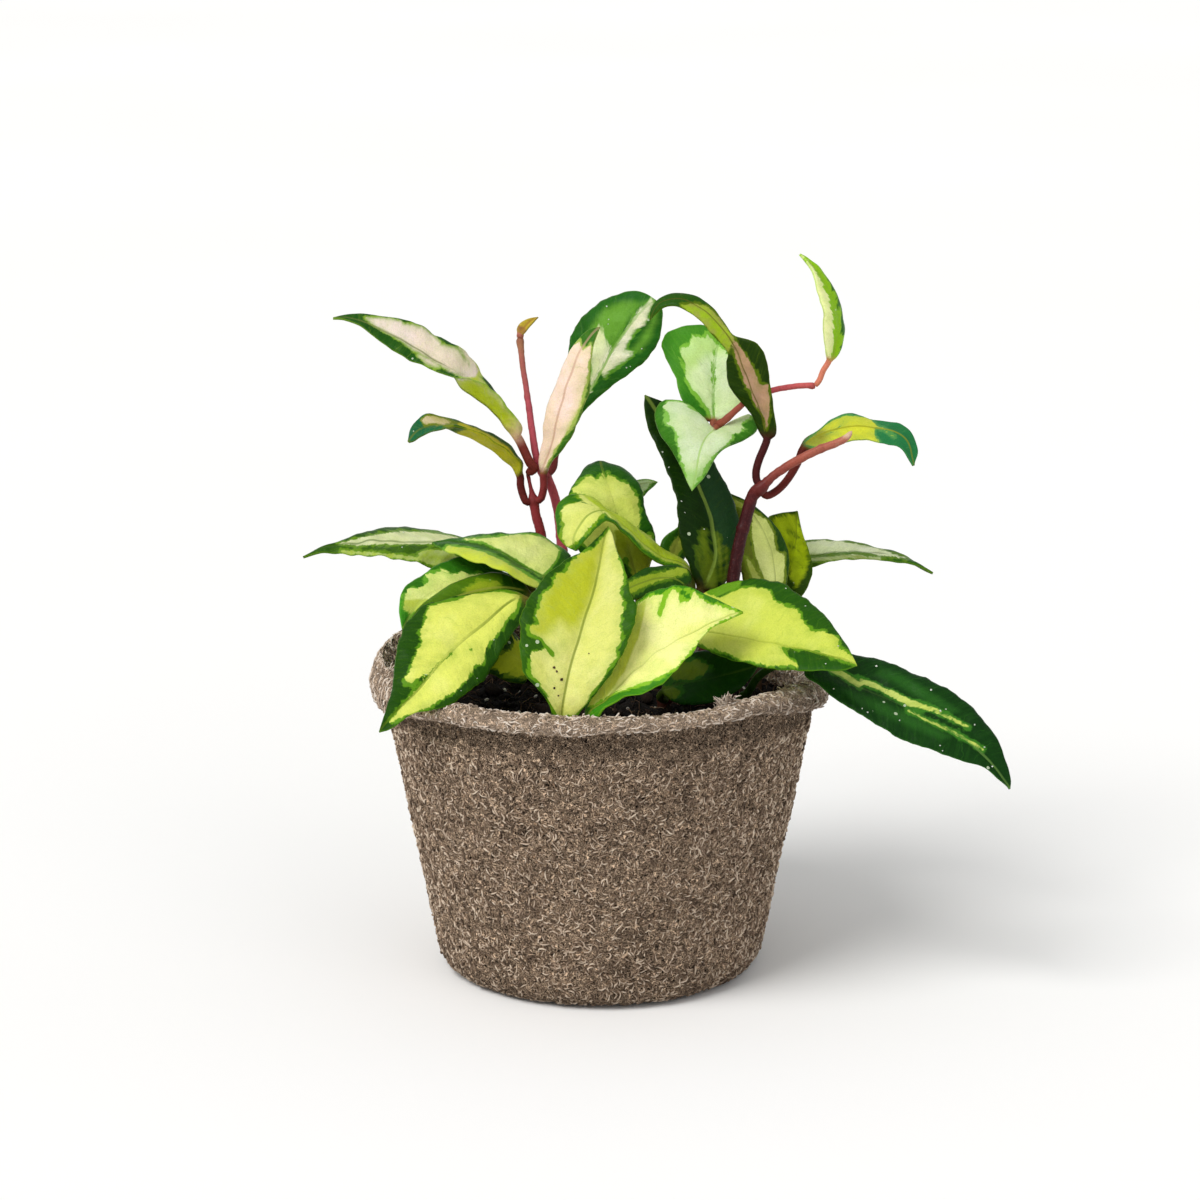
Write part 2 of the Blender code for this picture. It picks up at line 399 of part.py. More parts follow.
def smooth(points, per_span=16):
    """A centripetal Catmull-Rom curve through the points."""
    p = np.asarray(points, float)
    ends = np.vstack([2 * p[0] - p[1], p, 2 * p[-1] - p[-2]])
    spans = []
    for i in range(1, len(ends) - 2):
        p0, p1, p2, p3 = ends[i - 1:i + 3]
        t0 = 0.0
        t1 = t0 + max(np.linalg.norm(p1 - p0), 1e-6) ** 0.5
        t2 = t1 + max(np.linalg.norm(p2 - p1), 1e-6) ** 0.5
        t3 = t2 + max(np.linalg.norm(p3 - p2), 1e-6) ** 0.5
        last = i == len(ends) - 3
        t = np.linspace(t1, t2, per_span + 1)[: None if last else -1, None]
        a1 = (t1 - t) / (t1 - t0) * p0 + (t - t0) / (t1 - t0) * p1
        a2 = (t2 - t) / (t2 - t1) * p1 + (t - t1) / (t2 - t1) * p2
        a3 = (t3 - t) / (t3 - t2) * p2 + (t - t2) / (t3 - t2) * p3
        b1 = (t2 - t) / (t2 - t0) * a1 + (t - t0) / (t2 - t0) * a2
        b2 = (t3 - t) / (t3 - t1) * a2 + (t - t1) / (t3 - t1) * a3
        spans.append((t2 - t) / (t2 - t1) * b1 + (t - t1) / (t2 - t1) * b2)
    return np.vstack(spans)


class Path:
    """A smooth curve read by its share of length."""

    def __init__(self, points, per_span=16):
        self.dense = smooth(points, per_span)
        steps = np.linalg.norm(np.diff(self.dense, axis=0), axis=1)
        self.run = np.concatenate([[0.0], np.cumsum(steps)])
        self.length = self.run[-1]
        self.knots = self.run[::per_span] / self.length

    def at(self, share):
        s = np.clip(np.asarray(share, float), 0, 1) * self.length
        return np.stack([np.interp(s, self.run, self.dense[:, k]) for k in range(3)], -1)


def unit(v):
    return v / np.maximum(np.linalg.norm(v, axis=-1, keepdims=True), 1e-9)


# ---- leaf --------------------------------------------------------------------
def leaf_frame(spec, rings):
    """Midrib points, tangents, side vectors and thickness of each ring of a leaf."""
    stalk = spec.get("stalk", STALK_RADIUS)
    half = spec.get("half", BLADE_HALF_THICKNESS)
    mid_points = from_sheet(spec["mid"])
    start = spec["blade"]
    if "root" in spec:
        mid_points = np.vstack([root_points(spec["root"]), mid_points])
        start += 2
    mid = Path(mid_points)
    base = mid.knots[start]
    ends = mid_points[start][None], mid_points[-1][None]
    side_a = Path(np.vstack([ends[0], from_sheet(spec["a"]), ends[1]]))
    side_b = Path(np.vstack([ends[0], from_sheet(spec["b"]), ends[1]]))

    def along(q):
        return base + (1 - base) * (0.65 * q + 0.35 * (1 - np.cos(np.pi * q)) / 2)

    buried = mid.knots[1] if "root" in spec else 0.0
    first = 2 if "root" in spec else 1
    stalk_rings = 1 if start == 0 else max(first + 1, int(round(rings * base * 0.8)) + 1)
    s, g = np.zeros(rings + 1), np.zeros(rings + 1)
    for i in range(rings + 1):
        if i < first:
            s[i] = 0.0
        elif i <= stalk_rings:
            s[i] = buried + (base - buried) * (i - first) / max(1, stalk_rings - first)
        else:
            g[i] = (i - stalk_rings) / (rings - stalk_rings)
            s[i] = along(g[i])
    centre = mid.at(s)
    tangent = unit(mid.at(np.minimum(s + 0.01, 1)) - mid.at(np.maximum(s - 0.01, 0)))
    wa, wb = side_a.at(g) - centre, side_b.at(g) - centre
    wa[:stalk_rings + 1] = 0.0
    wb[:stalk_rings + 1] = 0.0
    across = unit(side_b.at(0.22) - side_a.at(0.22))
    seen = spec.get("seen", 0.5)
    run = unit(mid.at(along(seen) + 0.02) - mid.at(along(seen) - 0.02))
    facing = np.cross(unit(side_b.at(seen) - side_a.at(seen)), run) @ OUT
    if facing * (1 if spec.get("face", "top") == "top" else -1) < 0:
        wa, wb, across = wb, wa, -across
    frames = []
    for i in range(rings + 1):
        stalky = max(0.0, 1 - g[i] / 0.14)
        side = unit(across - tangent[i] * (across @ tangent[i]))
        left = wa[i] - side * stalk * stalky
        right = wb[i] + side * stalk * stalky
        if np.linalg.norm(right - left) > 1e-6:
            side = unit(right - left)
        normal = unit(np.cross(side, tangent[i]))
        x = min(1.0, g[i] / 0.16)
        x = x * x * (3 - 2 * x)
        thick = (stalk * (1 - x) + half * x) * (1 - max(0.0, g[i] - 0.75) * 1.2)
        frames.append((centre[i], left, right, normal, thick, 0.05 * 4 * x))
    return frames


def leaf_mesh(name, spec):
    """A sphere drawn out along the midrib and flattened between the two margins."""
    rings = spec.get("rings", LEAF_RINGS)
    frames = leaf_frame(spec, rings)
    bm = bmesh.new()
    bmesh.ops.create_uvsphere(bm, u_segments=LEAF_SIDES, v_segments=rings, radius=1.0)
    for v in bm.verts:
        x, y, z = v.co
        i = int(round(math.acos(max(-1.0, min(1.0, z))) / math.pi * rings))
        centre, left, right, normal, thick, puff = frames[i]
        if i in (0, rings):
            v.co = Vector(centre * MM)
            continue
        turn = math.atan2(y, x)
        c, s = math.cos(turn), math.sin(turn)
        out = right * c if c >= 0 else left * -c
        reach = np.linalg.norm(right if c >= 0 else left)
        bulge = puff * reach * (abs(c) - c * c)
        v.co = Vector((centre + out + normal * (thick * s + bulge)) * MM)
    for f in bm.faces:
        f.smooth = True
    mesh = bpy.data.meshes.new(name)
    bm.to_mesh(mesh)
    bm.free()
    return mesh


# ---- objects -----------------------------------------------------------------
def material(name, colour, roughness):
    mat = bpy.data.materials.new(name)
    mat.use_nodes = True
    shader = mat.node_tree.nodes["Principled BSDF"]
    shader.inputs["Base Color"].default_value = (*colour, 1.0)
    shader.inputs["Roughness"].default_value = roughness
    shader.inputs["Metallic"].default_value = 0.0
    mat.diffuse_color = (*colour, 1.0)
    return mat


def add(name, data, collection, mat=None):
    obj = bpy.data.objects.new(name, data)
    collection.objects.link(obj)
    if mat is not None:
        data.materials.append(mat)
    return obj


def stem_object(name, spec, collection):
    """A tapered tube along a smooth path, with its buried end straight."""
    path = Path(np.vstack([root_points(spec["root"]), from_sheet(spec["path"])]))
    count = max(4, int(path.length / STEM_STEP)) + 1
    shares = np.linspace(0, 1, count)
    points = path.at(shares) * MM
    radii = np.interp(shares, path.knots, spec["radii"])
    curve = bpy.data.curves.new(name, "CURVE")
    curve.dimensions = "3D"
    curve.bevel_depth = 1.0 * MM
    curve.bevel_resolution = 2
    curve.use_fill_caps = True
    spline = curve.splines.new("POLY")
    spline.points.add(count - 1)
    for p, co, r in zip(spline.points, points, radii):
        p.co = (*co, 1.0)
        p.radius = r
    return add(name, curve, collection, material(name, spec["colour"], 0.45))


def turned_object(name, profile, segments, collection, mat):
    """A profile in the XZ plane, run down its outer side, turned about Z."""
    mesh = bpy.data.meshes.new(name)
    mesh.from_pydata([(r * MM, 0.0, z * MM) for r, z in profile], [(i, i + 1) for i in range(len(profile) - 1)], [])
    obj = add(name, mesh, collection, mat)
    screw = obj.modifiers.new("turn", "SCREW")
    screw.axis = "Z"
    screw.angle = 2 * math.pi
    screw.steps = segments
    screw.render_steps = segments
    screw.use_merge_vertices = True
    screw.merge_threshold = 0.00001
    screw.use_smooth_shade = True
    return obj


def cut(target, name, radius, depth, centre, direction, cutters, sides=12):
    """Takes a round hole out of the target."""
    bpy.ops.mesh.primitive_cylinder_add(vertices=sides, radius=radius * MM, depth=depth * MM,
                                        location=Vector(centre * MM))
    cutter = bpy.context.active_object
    cutter.name = name
    cutter.rotation_mode = "QUATERNION"
    cutter.rotation_quaternion = Vector(direction).to_track_quat("Z", "Y")
    for c in list(cutter.users_collection):
        c.objects.unlink(cutter)
    cutters.objects.link(cutter)
    cutter.hide_render = True
    cutter.display_type = "WIRE"
    hole = target.modifiers.new(name, "BOOLEAN")
    hole.operation = "DIFFERENCE"
    hole.object = cutter
    return cutter


def pot_profile():
    """From the middle of the floor, up the inside, over the rolled rim and down the outside."""
    slope = (POT_NECK_RADIUS - POT_BASE_RADIUS) / (POT_NECK_HEIGHT - 6.0)
    inside = POT_INSIDE_RADIUS
    profile = [(0.0, POT_FLOOR), (inside - 2.0, POT_FLOOR), (inside + 0.2, 6.5)]
    for z in (30.0, 48.0, 66.0):
        profile.append((inside + POT_INSIDE_TAPER * (z - 6.0), z))
    top = POT_HEIGHT
    profile += [(47.6, top - 3.0), (48.6, top - 0.9), (50.8, top), (53.2, top - 0.7), (POT_RIM_RADIUS, top - 2.3),
                (POT_RIM_RADIUS - 0.2, top - 3.8), (52.8, top - 4.9), (51.5, top - 5.4), (POT_NECK_RADIUS, POT_NECK_HEIGHT)]
    for z in (48.0, 30.0):
        profile.append((POT_BASE_RADIUS + slope * (z - 6.0), z))
    profile += [(POT_BASE_RADIUS, 6.0), (39.1, 3.2), (37.5, 1.0), (POT_FOOT_RADIUS, 0.0), (0.0, 0.0)]
    return profile


def soil_profile():
    """Fills the pot to just under its rim, GAP clear of the wall and the floor."""
    slope = POT_INSIDE_TAPER
    inside = POT_INSIDE_RADIUS - GAP * 1.1
    return [(0.0, SOIL_TOP), (24.0, SOIL_TOP), (38.0, SOIL_TOP - 0.3), (inside + slope * (SOIL_TOP - 7.8), SOIL_TOP - 1.6),
            (inside + slope * 24.0, 30.0), (inside + 0.15, 6.5 + GAP), (inside - 2.1, POT_FLOOR + GAP), (0.0, POT_FLOOR + GAP)]


def main():
    for obj in list(bpy.data.objects):
        bpy.data.objects.remove(obj, do_unlink=True)
    plant = bpy.data.collections.new("potted_hoya")
    cutters = bpy.data.collections.new("cutters")
    bpy.context.scene.collection.children.link(plant)
    bpy.context.scene.collection.children.link(cutters)

    pot = turned_object("pot", pot_profile(), POT_SEGMENTS, plant, material("pot", (0.30, 0.25, 0.20), 0.95))
    for k in range(DRAIN_HOLES):
        turn = 2 * math.pi * (k + 0.5) / DRAIN_HOLES
        centre = np.array([DRAIN_HOLE_CIRCLE * math.cos(turn), DRAIN_HOLE_CIRCLE * math.sin(turn), POT_FLOOR / 2])
        cut(pot, "drain_hole_%d" % (k + 1), DRAIN_HOLE_RADIUS, POT_FLOOR * 3, centre, (0, 0, 1), cutters, 16)

    soil = turned_object("soil", soil_profile(), 48, plant, material("soil", (0.02, 0.013, 0.009), 1.0))
    rooted = [(n, s["root"], s["radii"][0]) for n, s in STEMS.items()]
    rooted += [(n, s["root"], s.get("stalk", STALK_RADIUS)) for n, s in LEAVES.items() if "root" in s]
    for name, root, radius in rooted:
        low, high = root_points(root)
        direction = unit(high - low)
        low = low - direction * GAP
        high = high + direction * 3.0
        cut(soil, "socket_" + name, radius + SOCKET_CLEARANCE, np.linalg.norm(high - low), (low + high) / 2,
            direction, cutters)

    for name, spec in STEMS.items():
        stem_object(name, spec, plant)
    for name, spec in LEAVES.items():
        add(name, leaf_mesh(name, spec), plant, material(name, spec["colour"], 0.32))


main()
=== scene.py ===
import math

import bmesh
import bpy
import numpy as np
from mathutils import Matrix, Vector


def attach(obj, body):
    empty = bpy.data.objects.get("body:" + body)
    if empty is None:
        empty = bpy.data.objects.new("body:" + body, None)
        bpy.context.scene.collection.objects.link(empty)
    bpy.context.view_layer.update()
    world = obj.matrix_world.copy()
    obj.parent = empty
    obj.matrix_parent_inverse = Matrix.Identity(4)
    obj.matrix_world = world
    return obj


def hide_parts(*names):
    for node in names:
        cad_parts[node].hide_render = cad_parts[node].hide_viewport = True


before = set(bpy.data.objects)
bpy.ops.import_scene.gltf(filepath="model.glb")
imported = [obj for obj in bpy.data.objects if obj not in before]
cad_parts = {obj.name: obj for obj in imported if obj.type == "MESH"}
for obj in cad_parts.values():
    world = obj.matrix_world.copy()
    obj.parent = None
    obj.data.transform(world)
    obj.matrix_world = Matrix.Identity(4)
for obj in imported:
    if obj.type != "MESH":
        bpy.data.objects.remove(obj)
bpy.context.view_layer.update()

MM = 0.001
SHEET_LEAN = math.radians(14.5)
SHEET_UNITS_PER_MM = 4.163
SHEET_CENTRE_Z = 90.0
VIEW_DISTANCE = 900.0

POT_HEIGHT = 74.6
POT_FLOOR = 4.0
POT_INSIDE_RADIUS = 36.0
POT_INSIDE_TAPER = 0.19
POT_FOOT_RADIUS = 34.5
POT_BASE_RADIUS = 39.7
POT_NECK_RADIUS = 51.5
POT_NECK_HEIGHT = 65.5
POT_RIM_RADIUS = 54.6
DRAIN_HOLES = 4
DRAIN_HOLE_RADIUS = 3.5
DRAIN_HOLE_CIRCLE = 20.0
SOIL_TOP = 66.5
GAP = 0.35
ROOT_DEPTH = 7.0
STALK_RADIUS = 0.95
BLADE_HALF_THICKNESS = 0.45

RIGHT = np.array([1.0, 0.0, 0.0])
UP = np.array([0.0, math.sin(SHEET_LEAN), math.cos(SHEET_LEAN)])
OUT = np.array([0.0, -math.cos(SHEET_LEAN), math.sin(SHEET_LEAN)])

# Each leaf: root (across, out) if it grows straight out of the soil, mid = stalk and
# midrib, blade = index of the point where the blade starts, a and b = the two margins
# from the blade's base towards the tip, face = the side turned to the front at the
# share "seen" of the blade's length.
LEAVES = {
    "leaf_front_left": dict(
        mid=[(546, 628, 2.9), (539, 617, 5.5), (525, 600, 9), (508, 605, 11), (485, 624, 15), (462, 642, 19.5),
             (446, 657, 23), (431, 675, 27), (418, 690, 30), (402, 707, 33), (387, 722, 35.5), (379, 732, 36.5)],
        blade=2,
        a=[(519, 595, 8), (510, 592, 8), (498, 591, 8), (480, 592, 9), (459, 595, 11), (441, 601, 12.5),
           (430, 604, 13), (420, 609, 14), (412, 616, 16), (404, 625, 18), (400, 637, 20), (396, 655, 23),
           (393, 678, 26.5), (390, 696, 30), (383, 719, 35)],
        b=[(524, 606, 12), (522, 616, 14), (514, 632, 17.5), (504, 648, 20.5), (492, 668, 24.5), (482, 682, 27.5),
           (472, 690, 30), (462, 698, 32), (446, 706, 34.5), (431, 710, 36), (415, 714, 36.5), (402, 722, 37),
           (389, 730, 37)],
        ),
    "leaf_left_edge": dict(
        mid=[(538.8, 613, 1), (534, 603, 2), (528, 595, 3), (515, 589, 4), (495, 588, 5.5), (465, 594, 8),
             (438, 606, 11), (418, 618, 13.5), (405, 628, 15)],
        blade=2,
        a=[(521, 583, 1.5), (505, 574, 2), (490, 572, 2.5), (478, 574, 3), (464, 578, 4), (449, 585, 6),
           (434, 595, 8.5), (417, 609, 12)],
        b=[(518, 601, 4.5), (500, 607, 5.5), (480, 614, 7.5), (460, 621, 9.5), (435, 629, 12), (417, 632, 14)],
        ),
    "leaf_left_yellow": dict(
        mid=[(543.3, 601, -0.3), (537, 594, -2), (527, 588, -3), (505, 582, -3), (475, 580, -2), (445, 588, 1),
             (420, 602, 5), (402, 629, 10)],
        blade=2,
        a=[(516, 577, -5), (500, 570, -6), (482, 561, -6), (462, 557, -5), (439, 563, -2.5), (421, 576, 1),
           (404, 588, 4.5), (399, 611, 8.5)],
        b=[(513, 597, -1), (490, 602, 0.5), (462, 608, 3), (438, 616, 6), (418, 625, 8.5)],
        ),
    "leaf_left_broad": dict(
        mid=[(548, 588, 1.5), (545, 581, 2), (530, 572, 1), (515, 563, 0), (500, 554, -1), (485, 548, -2),
             (470, 545, -3.5), (450, 543, -5.5), (432, 543, -7)],
        blade=1,
        a=[(560, 572, -4), (571, 557, -9), (556, 542, -12), (535, 535, -13.5), (505, 534, -13.5),
           (475, 536, -11.5), (455, 540, -9)],
        b=[(538, 588, 8), (522, 581, 10), (505, 573, 10.5), (488, 566.5, 9), (470, 559.5, 6), (452, 553, 2), (440, 548.5, -2)],
        ),
    "leaf_far_left": dict(
        mid=[(536.2, 571, -17.8), (530, 566, -17.4), (520, 562, -16.5), (500, 556, -16), (470, 550, -15.5),
             (440, 545, -15), (400, 543, -14), (365, 543, -13), (340, 546, -12), (320, 549, -11), (303, 557, -10)],
        blade=2,
        a=[(505, 545, -22), (480, 540, -25), (459, 538, -26), (430, 530, -26.5), (397, 528, -25), (380, 529, -23),
           (360, 535, -18), (345, 540, -15.5), (325, 548, -12.5)],
        b=[(507, 567, -13), (485, 571, -11), (455, 571, -9), (428, 567, -7.5), (410, 561, -6.5), (380, 557, -7),
           (355, 555, -8.5), (325, 553, -10)],
        ),
    "leaf_front_middle": dict(
        root=(570, 33.5),
        mid=[(565, 737, 37), (562, 716, 40.2), (566, 687, 41), (572, 661, 40.5), (579, 639, 39.5), (585, 618, 37.5),
             (593, 595, 34), (599, 568, 30), (604, 542, 26), (608, 526, 24)],
        blade=0,
        a=[(557, 726, 39.6), (549, 706, 41.6), (541, 693, 43), (533, 684, 43.5), (524, 673, 44), (520, 655, 44),
           (520, 637, 43.5), (520, 619, 42), (523, 610, 41), (527, 600, 39.5), (537, 586, 37.5), (545, 577, 36),
           (565, 560, 33), (585, 549, 29.5), (595, 540, 27), (603, 532, 25)],
        b=[(571, 726, 40.3), (579, 714, 41.8), (589, 702, 43), (599, 690, 44), (611, 674, 44.5), (621, 657, 44.5),
           (629, 639, 44), (635, 622, 42.5), (637, 610, 41), (630, 590, 38), (625, 570, 34), (617, 550, 29.5),
           (612, 533, 25.5)],
        ),
    "leaf_front_right": dict(
        root=(584, 33.5),
        mid=[(584, 737, 38), (588, 724, 40), (592, 712, 41), (604, 703, 41.5), (622, 684, 41), (648, 660, 39.5),
             (668, 646, 38), (700, 630, 35), (735, 615, 32), (743, 612, 31.5)],
        blade=1,
        a=[(588, 700, 38), (596, 682, 36), (606, 656, 34), (616, 630, 32), (634, 602, 30), (650, 592, 29.5),
           (670, 587, 29), (690, 587, 28.5), (708, 594, 28.5), (722, 602, 29), (737, 609, 30.5)],
        b=[(595, 720, 42.5), (606, 707, 44), (622, 699, 45), (640, 695, 46), (656, 686, 46), (668, 679, 45.5),
           (682, 664, 44), (691, 655, 43), (699, 642, 41), (709, 631, 38.5), (724, 622, 35), (736, 616, 32.5)],
        ),
    "leaf_right_wide": dict(
        mid=[(679, 645, 8), (681, 637, 10.5), (685, 629, 13), (706, 632, 17), (745, 639, 22), (790, 647, 28),
             (830, 656, 33), (857, 665, 36)],
        blade=2,
        a=[(686, 611, 11), (700, 594, 10), (722, 584, 10.5), (742, 580, 11.5), (762, 580, 13), (780, 583, 15),
           (797, 592, 18), (814, 605, 21), (831, 623, 26), (847, 645, 31.5)],
        b=[(692, 644, 19), (708, 651.5, 23), (735, 661, 28), (765, 668, 32), (795, 671, 35), (825, 671.5, 36.5),
           (845, 670, 37)],
        ),
    "leaf_right_hanging": dict(
        root=(740, 2),
        mid=[(748, 692, 4.5), (758, 677, 8), (775, 666, 12), (795, 662, 15.5), (806, 663, 17), (830, 672, 19),
             (870, 693, 22), (900, 705, 24), (920, 717, 25), (950, 731, 26), (983, 755, 26.5), (1010, 789, 26)],
        blade=4,
        a=[(814, 652, 14.5), (832, 648, 14), (851, 653, 14), (875, 659, 15), (900, 667, 17), (930, 680, 19),
           (960, 697, 21), (980, 715, 23), (998, 740, 24.5), (1007, 765, 25.5), (1011, 780, 26)],
        b=[(806, 675, 20), (820, 686, 23), (835, 698, 25), (855, 711, 27), (875, 724, 28.5), (900, 738, 29.5),
           (930, 750, 29.5), (960, 760, 29), (985, 768, 28), (998, 779, 27)],
        ),
    "leaf_soil_right": dict(
        mid=[(664, 700, 8.3), (660, 697, 10.5), (664, 692, 12.5), (680, 685, 14.5), (705, 680, 16), (732, 674, 16.5),
             (758, 666, 16)],
        blade=2,
        a=[(664, 676, 10), (676, 662, 9.6), (692, 653, 9.8), (712, 648, 10.6), (735, 652, 12.4), (750, 659, 14.4)],
        b=[(672, 701, 17), (690, 706, 19), (715, 702, 20), (738, 690, 19), (751, 678, 17.5)],
        ),
    "leaf_soil_left": dict(
        mid=[(545, 688, 3), (537, 678, 5.5), (529, 668, 8), (515, 656, 10), (500, 648, 11), (480, 645, 12),
             (465, 648, 12.5)],
        blade=2,
        a=[(528, 648, 4), (515, 633, 5), (495, 627, 7), (478, 631, 9.5)],
        b=[(524, 684, 11), (508, 683, 13.5), (492, 675, 14.5), (475, 662, 14)],
        ),
    "leaf_upper_left": dict(
        mid=[(534, 469, -16), (530, 463, -15), (524, 450, -14), (518, 438, -13.5), (507, 425, -12), (498, 415, -11.5),
             (480, 400, -10.5), (463, 385, -9.5), (448, 370, -9), (420, 352, -8.5), (380, 330, -8.5),
             (350, 319, -9), (333, 318, -9.5)],
        blade=3,
        a=[(520, 426, -17), (508, 410, -18), (497, 394, -18.5), (483, 376, -18), (472, 360, -17), (460, 347, -15.5),
           (440, 337, -14), (420, 326, -13), (400, 319, -12), (375, 315, -11), (355, 314, -10.5), (343, 316, -10)],
        b=[(521, 427, -10), (510, 412, -8), (500, 397, -6.5), (485, 384, -5), (471, 379, -4), (460, 378, -4),
           (450, 376, -4.5), (440, 373, -5), (420, 365, -5.5), (400, 355, -6), (380, 341, -6.5), (360, 326, -7.5),
           (345, 320, -8.5)],
        stalk=1.1, seen=0.75),
    "leaf_small_left": dict(
        mid=[(526.6, 502, -17.5), (523, 495, -17.5), (520.5, 485, -17), (520, 476, -16.5), (513, 467, -15.5),
             (500, 456, -14.5), (490, 448, -14), (478, 441, -13.5), (460, 433, -13), (445, 428, -12.5),
             (430, 427, -12), (418, 432, -11.5), (408, 442, -11)],
        blade=3,
        a=[(523, 462, -19), (512, 448, -20), (497, 437, -20), (477, 427, -19), (455, 421, -17.5), (440, 417, -16),
           (427, 414, -14.5), (416, 420, -13), (410, 430, -12)],
        b=[(521, 464, -12.5), (510, 451, -10.5), (495, 441, -9), (475, 431, -8.5), (455, 428, -8.5),
           (440, 430, -8.5), (430, 432, -9), (421, 437, -9.5), (413, 442, -10.5)],
        seen=0.8),
    "leaf_bud": dict(
        mid=[(520.5, 334, -16), (524, 329, -16), (531, 321, -15.5), (538, 317, -15)],
        blade=0,
        a=[(517, 331, -16.5), (519, 325, -16.5), (525, 320, -16), (531, 318, -15.5)],
        b=[(524, 334, -15.5), (529, 328, -15), (534, 322, -14.8)],
        stalk=0.9, half=0.35),
    "leaf_pink": dict(
        mid=[(540.2, 499.5, -17.2), (542.5, 494, -17), (543.8, 486, -16.5), (543.5, 474, -16), (546, 463, -15),
             (552, 445, -13), (557, 425, -11), (562, 405, -9.5), (568, 385, -8), (574, 368, -7), (579, 355, -6.5),
             (592, 335, -6), (600, 327, -6)],
        blade=3,
        a=[(540, 462, -15.5), (540, 452, -15), (543, 435, -14.5), (547, 410, -13), (553, 390, -11.5), (562, 368, -9.5),
           (572, 348, -8), (579, 338, -7.2), (586, 331, -6.6), (593, 328, -6.2)],
        b=[(549, 464, -14.5), (557, 456, -11.5), (565, 446, -9.5), (575, 430, -8), (581, 416, -7), (585, 405, -6.5),
           (588, 392, -6), (590, 375, -5.2), (592, 358, -5), (595, 342, -5.2), (598, 333, -5.6)],
        ),
    "leaf_upper_middle": dict(
        mid=[(553, 468, -20.5), (555, 455, -20.5), (561, 437, -20), (568, 421, -19.5), (578, 405, -19),
             (590, 390, -18.5), (600, 375, -18), (610, 355, -17), (620, 340, -16), (632, 323, -15),
             (645, 308, -14), (656, 300, -13.5)],
        blade=2,
        a=[(561, 422, -21), (562, 400, -22), (564, 372, -22.5), (568, 350, -22.5), (574, 330, -22), (582, 318, -21.5),
           (595, 305, -20.5), (610, 297, -19), (630, 291, -17), (645, 293, -15)],
        b=[(572, 428, -19), (583, 413, -17.5), (596, 400, -16.5), (612, 386, -15.5), (630, 373, -15),
           (646, 360, -15), (657, 345, -15), (662, 325, -15), (662, 309, -14.5)],
        ),
    "leaf_arching": dict(
        mid=[(757, 481, 0.8), (756, 472, 0.8), (759, 460, 0.8), (764, 448, 0.8), (767, 439, 0.8), (766, 428, 1),
             (760, 408, 2), (752, 388, 3.5), (744, 368, 5), (737, 350, 6.2), (728, 336, 6.6), (716, 322.5, 6.6),
             (702, 310, 6.2), (686, 301, 5.6), (670, 300, 5.2), (658, 305, 4.9), (650, 320, 4.5)],
        blade=4,
        a=[(761, 431, 0.5), (754, 418, 0.5), (742, 403, 0.8), (730, 388, 1.6), (726.5, 373, 2.8), (726.5, 362, 4.2),
           (728, 354, 5.4), (722, 345, 6.6), (712, 334, 7.6), (702, 323, 7.8), (693, 315, 7.6), (681, 308, 7),
           (667, 306.5, 6.2), (657, 313, 5.2)],
        b=[(773, 436, 2), (775, 428, 3), (774, 415, 4.5), (772, 400, 6), (770, 380, 7.6), (768, 364, 8.6),
           (762.5, 350, 9), (754, 341.4, 8.6), (743, 338, 7.6), (733.6, 335, 6.6), (725, 323.5, 5.4), (714.8, 310.5, 4.4),
           (702, 298.5, 3.8), (690, 294.5, 3.4), (672, 293.5, 3.4), (659, 299, 3.8), (651, 309, 4.2)],
        seen=0.25, rings=22),
    "leaf_pale_rear": dict(
        mid=[(713, 421, -6), (713, 412, -7), (713, 395, -9), (714, 365, -13), (718, 345, -16), (724, 334, -18)],
        blade=0,
        a=[(706, 421, -5.5), (694, 412, -5.5), (683, 402, -6), (675, 378, -9), (665, 355, -12), (661, 342, -14),
           (668, 332, -15.5), (682, 327, -16.5), (700, 325, -17.5), (714, 328, -18)],
        b=[(724, 422, -7), (737, 414, -7.5), (748, 402, -9), (754, 385, -11), (755, 365, -13.5), (748, 348, -16),
           (738, 339, -17.5)],
        stalk=0.8),
    "leaf_heart": dict(
        mid=[(714, 430.5, 0.9), (711, 433, 2), (706, 438, 3.5), (701, 448, 5.5), (698, 460, 7), (696, 475, 8.5),
             (692, 491, 9)],
        blade=0,
        a=[(708, 424, -0.5), (698, 412, -2), (684, 402, -2.5), (667, 400, -2), (657, 407, -1), (654, 415, 0),
           (659, 433, 1.5), (670, 448, 3.5), (681, 468, 6), (688, 484, 8.5)],
        b=[(720, 431.5, -1.2), (733, 424.5, -4.2), (746, 415, -5), (757, 420, -4), (759, 428, -2), (748, 438, 1),
           (730, 446, 3), (718, 455, 5), (710, 468, 6.5), (704, 478, 8)],
        stalk=0.8),
    "leaf_tall_dark": dict(
        mid=[(700, 589, -0.8), (705, 582, -1), (711, 570, -1.5), (715, 555, -2), (714, 543, -2.5), (709, 517, -3.5),
             (698, 488, -4.5), (685, 462, -5.5), (670, 435, -6), (655, 410, -6), (645, 395, -6)],
        blade=0,
        a=[(694, 578, 0.8), (687, 562, 2), (682, 549, 2.2), (679, 536, 2), (678, 521, 1.2), (676, 499, 0),
           (672, 483, -1), (667, 470, -2), (658, 450, -3.5), (649, 430, -4.5), (644, 407, -5.5)],
        b=[(714, 592, -2), (727, 580, -3.5), (735, 560, -4.5), (740, 535, -5), (740, 521, -5.5), (736, 508, -6),
           (731, 495, -6.5), (723, 480, -7), (716, 465, -7.2), (704, 444, -7.4), (688, 422, -7.4), (668, 404, -7)],
        ),
    "leaf_right_curled": dict(
        mid=[(766.5, 495.5, -0.6), (775, 492, -1.8), (783, 485, -2.6), (790, 476, -3), (798, 462, -3.2), (803, 449, -3.5),
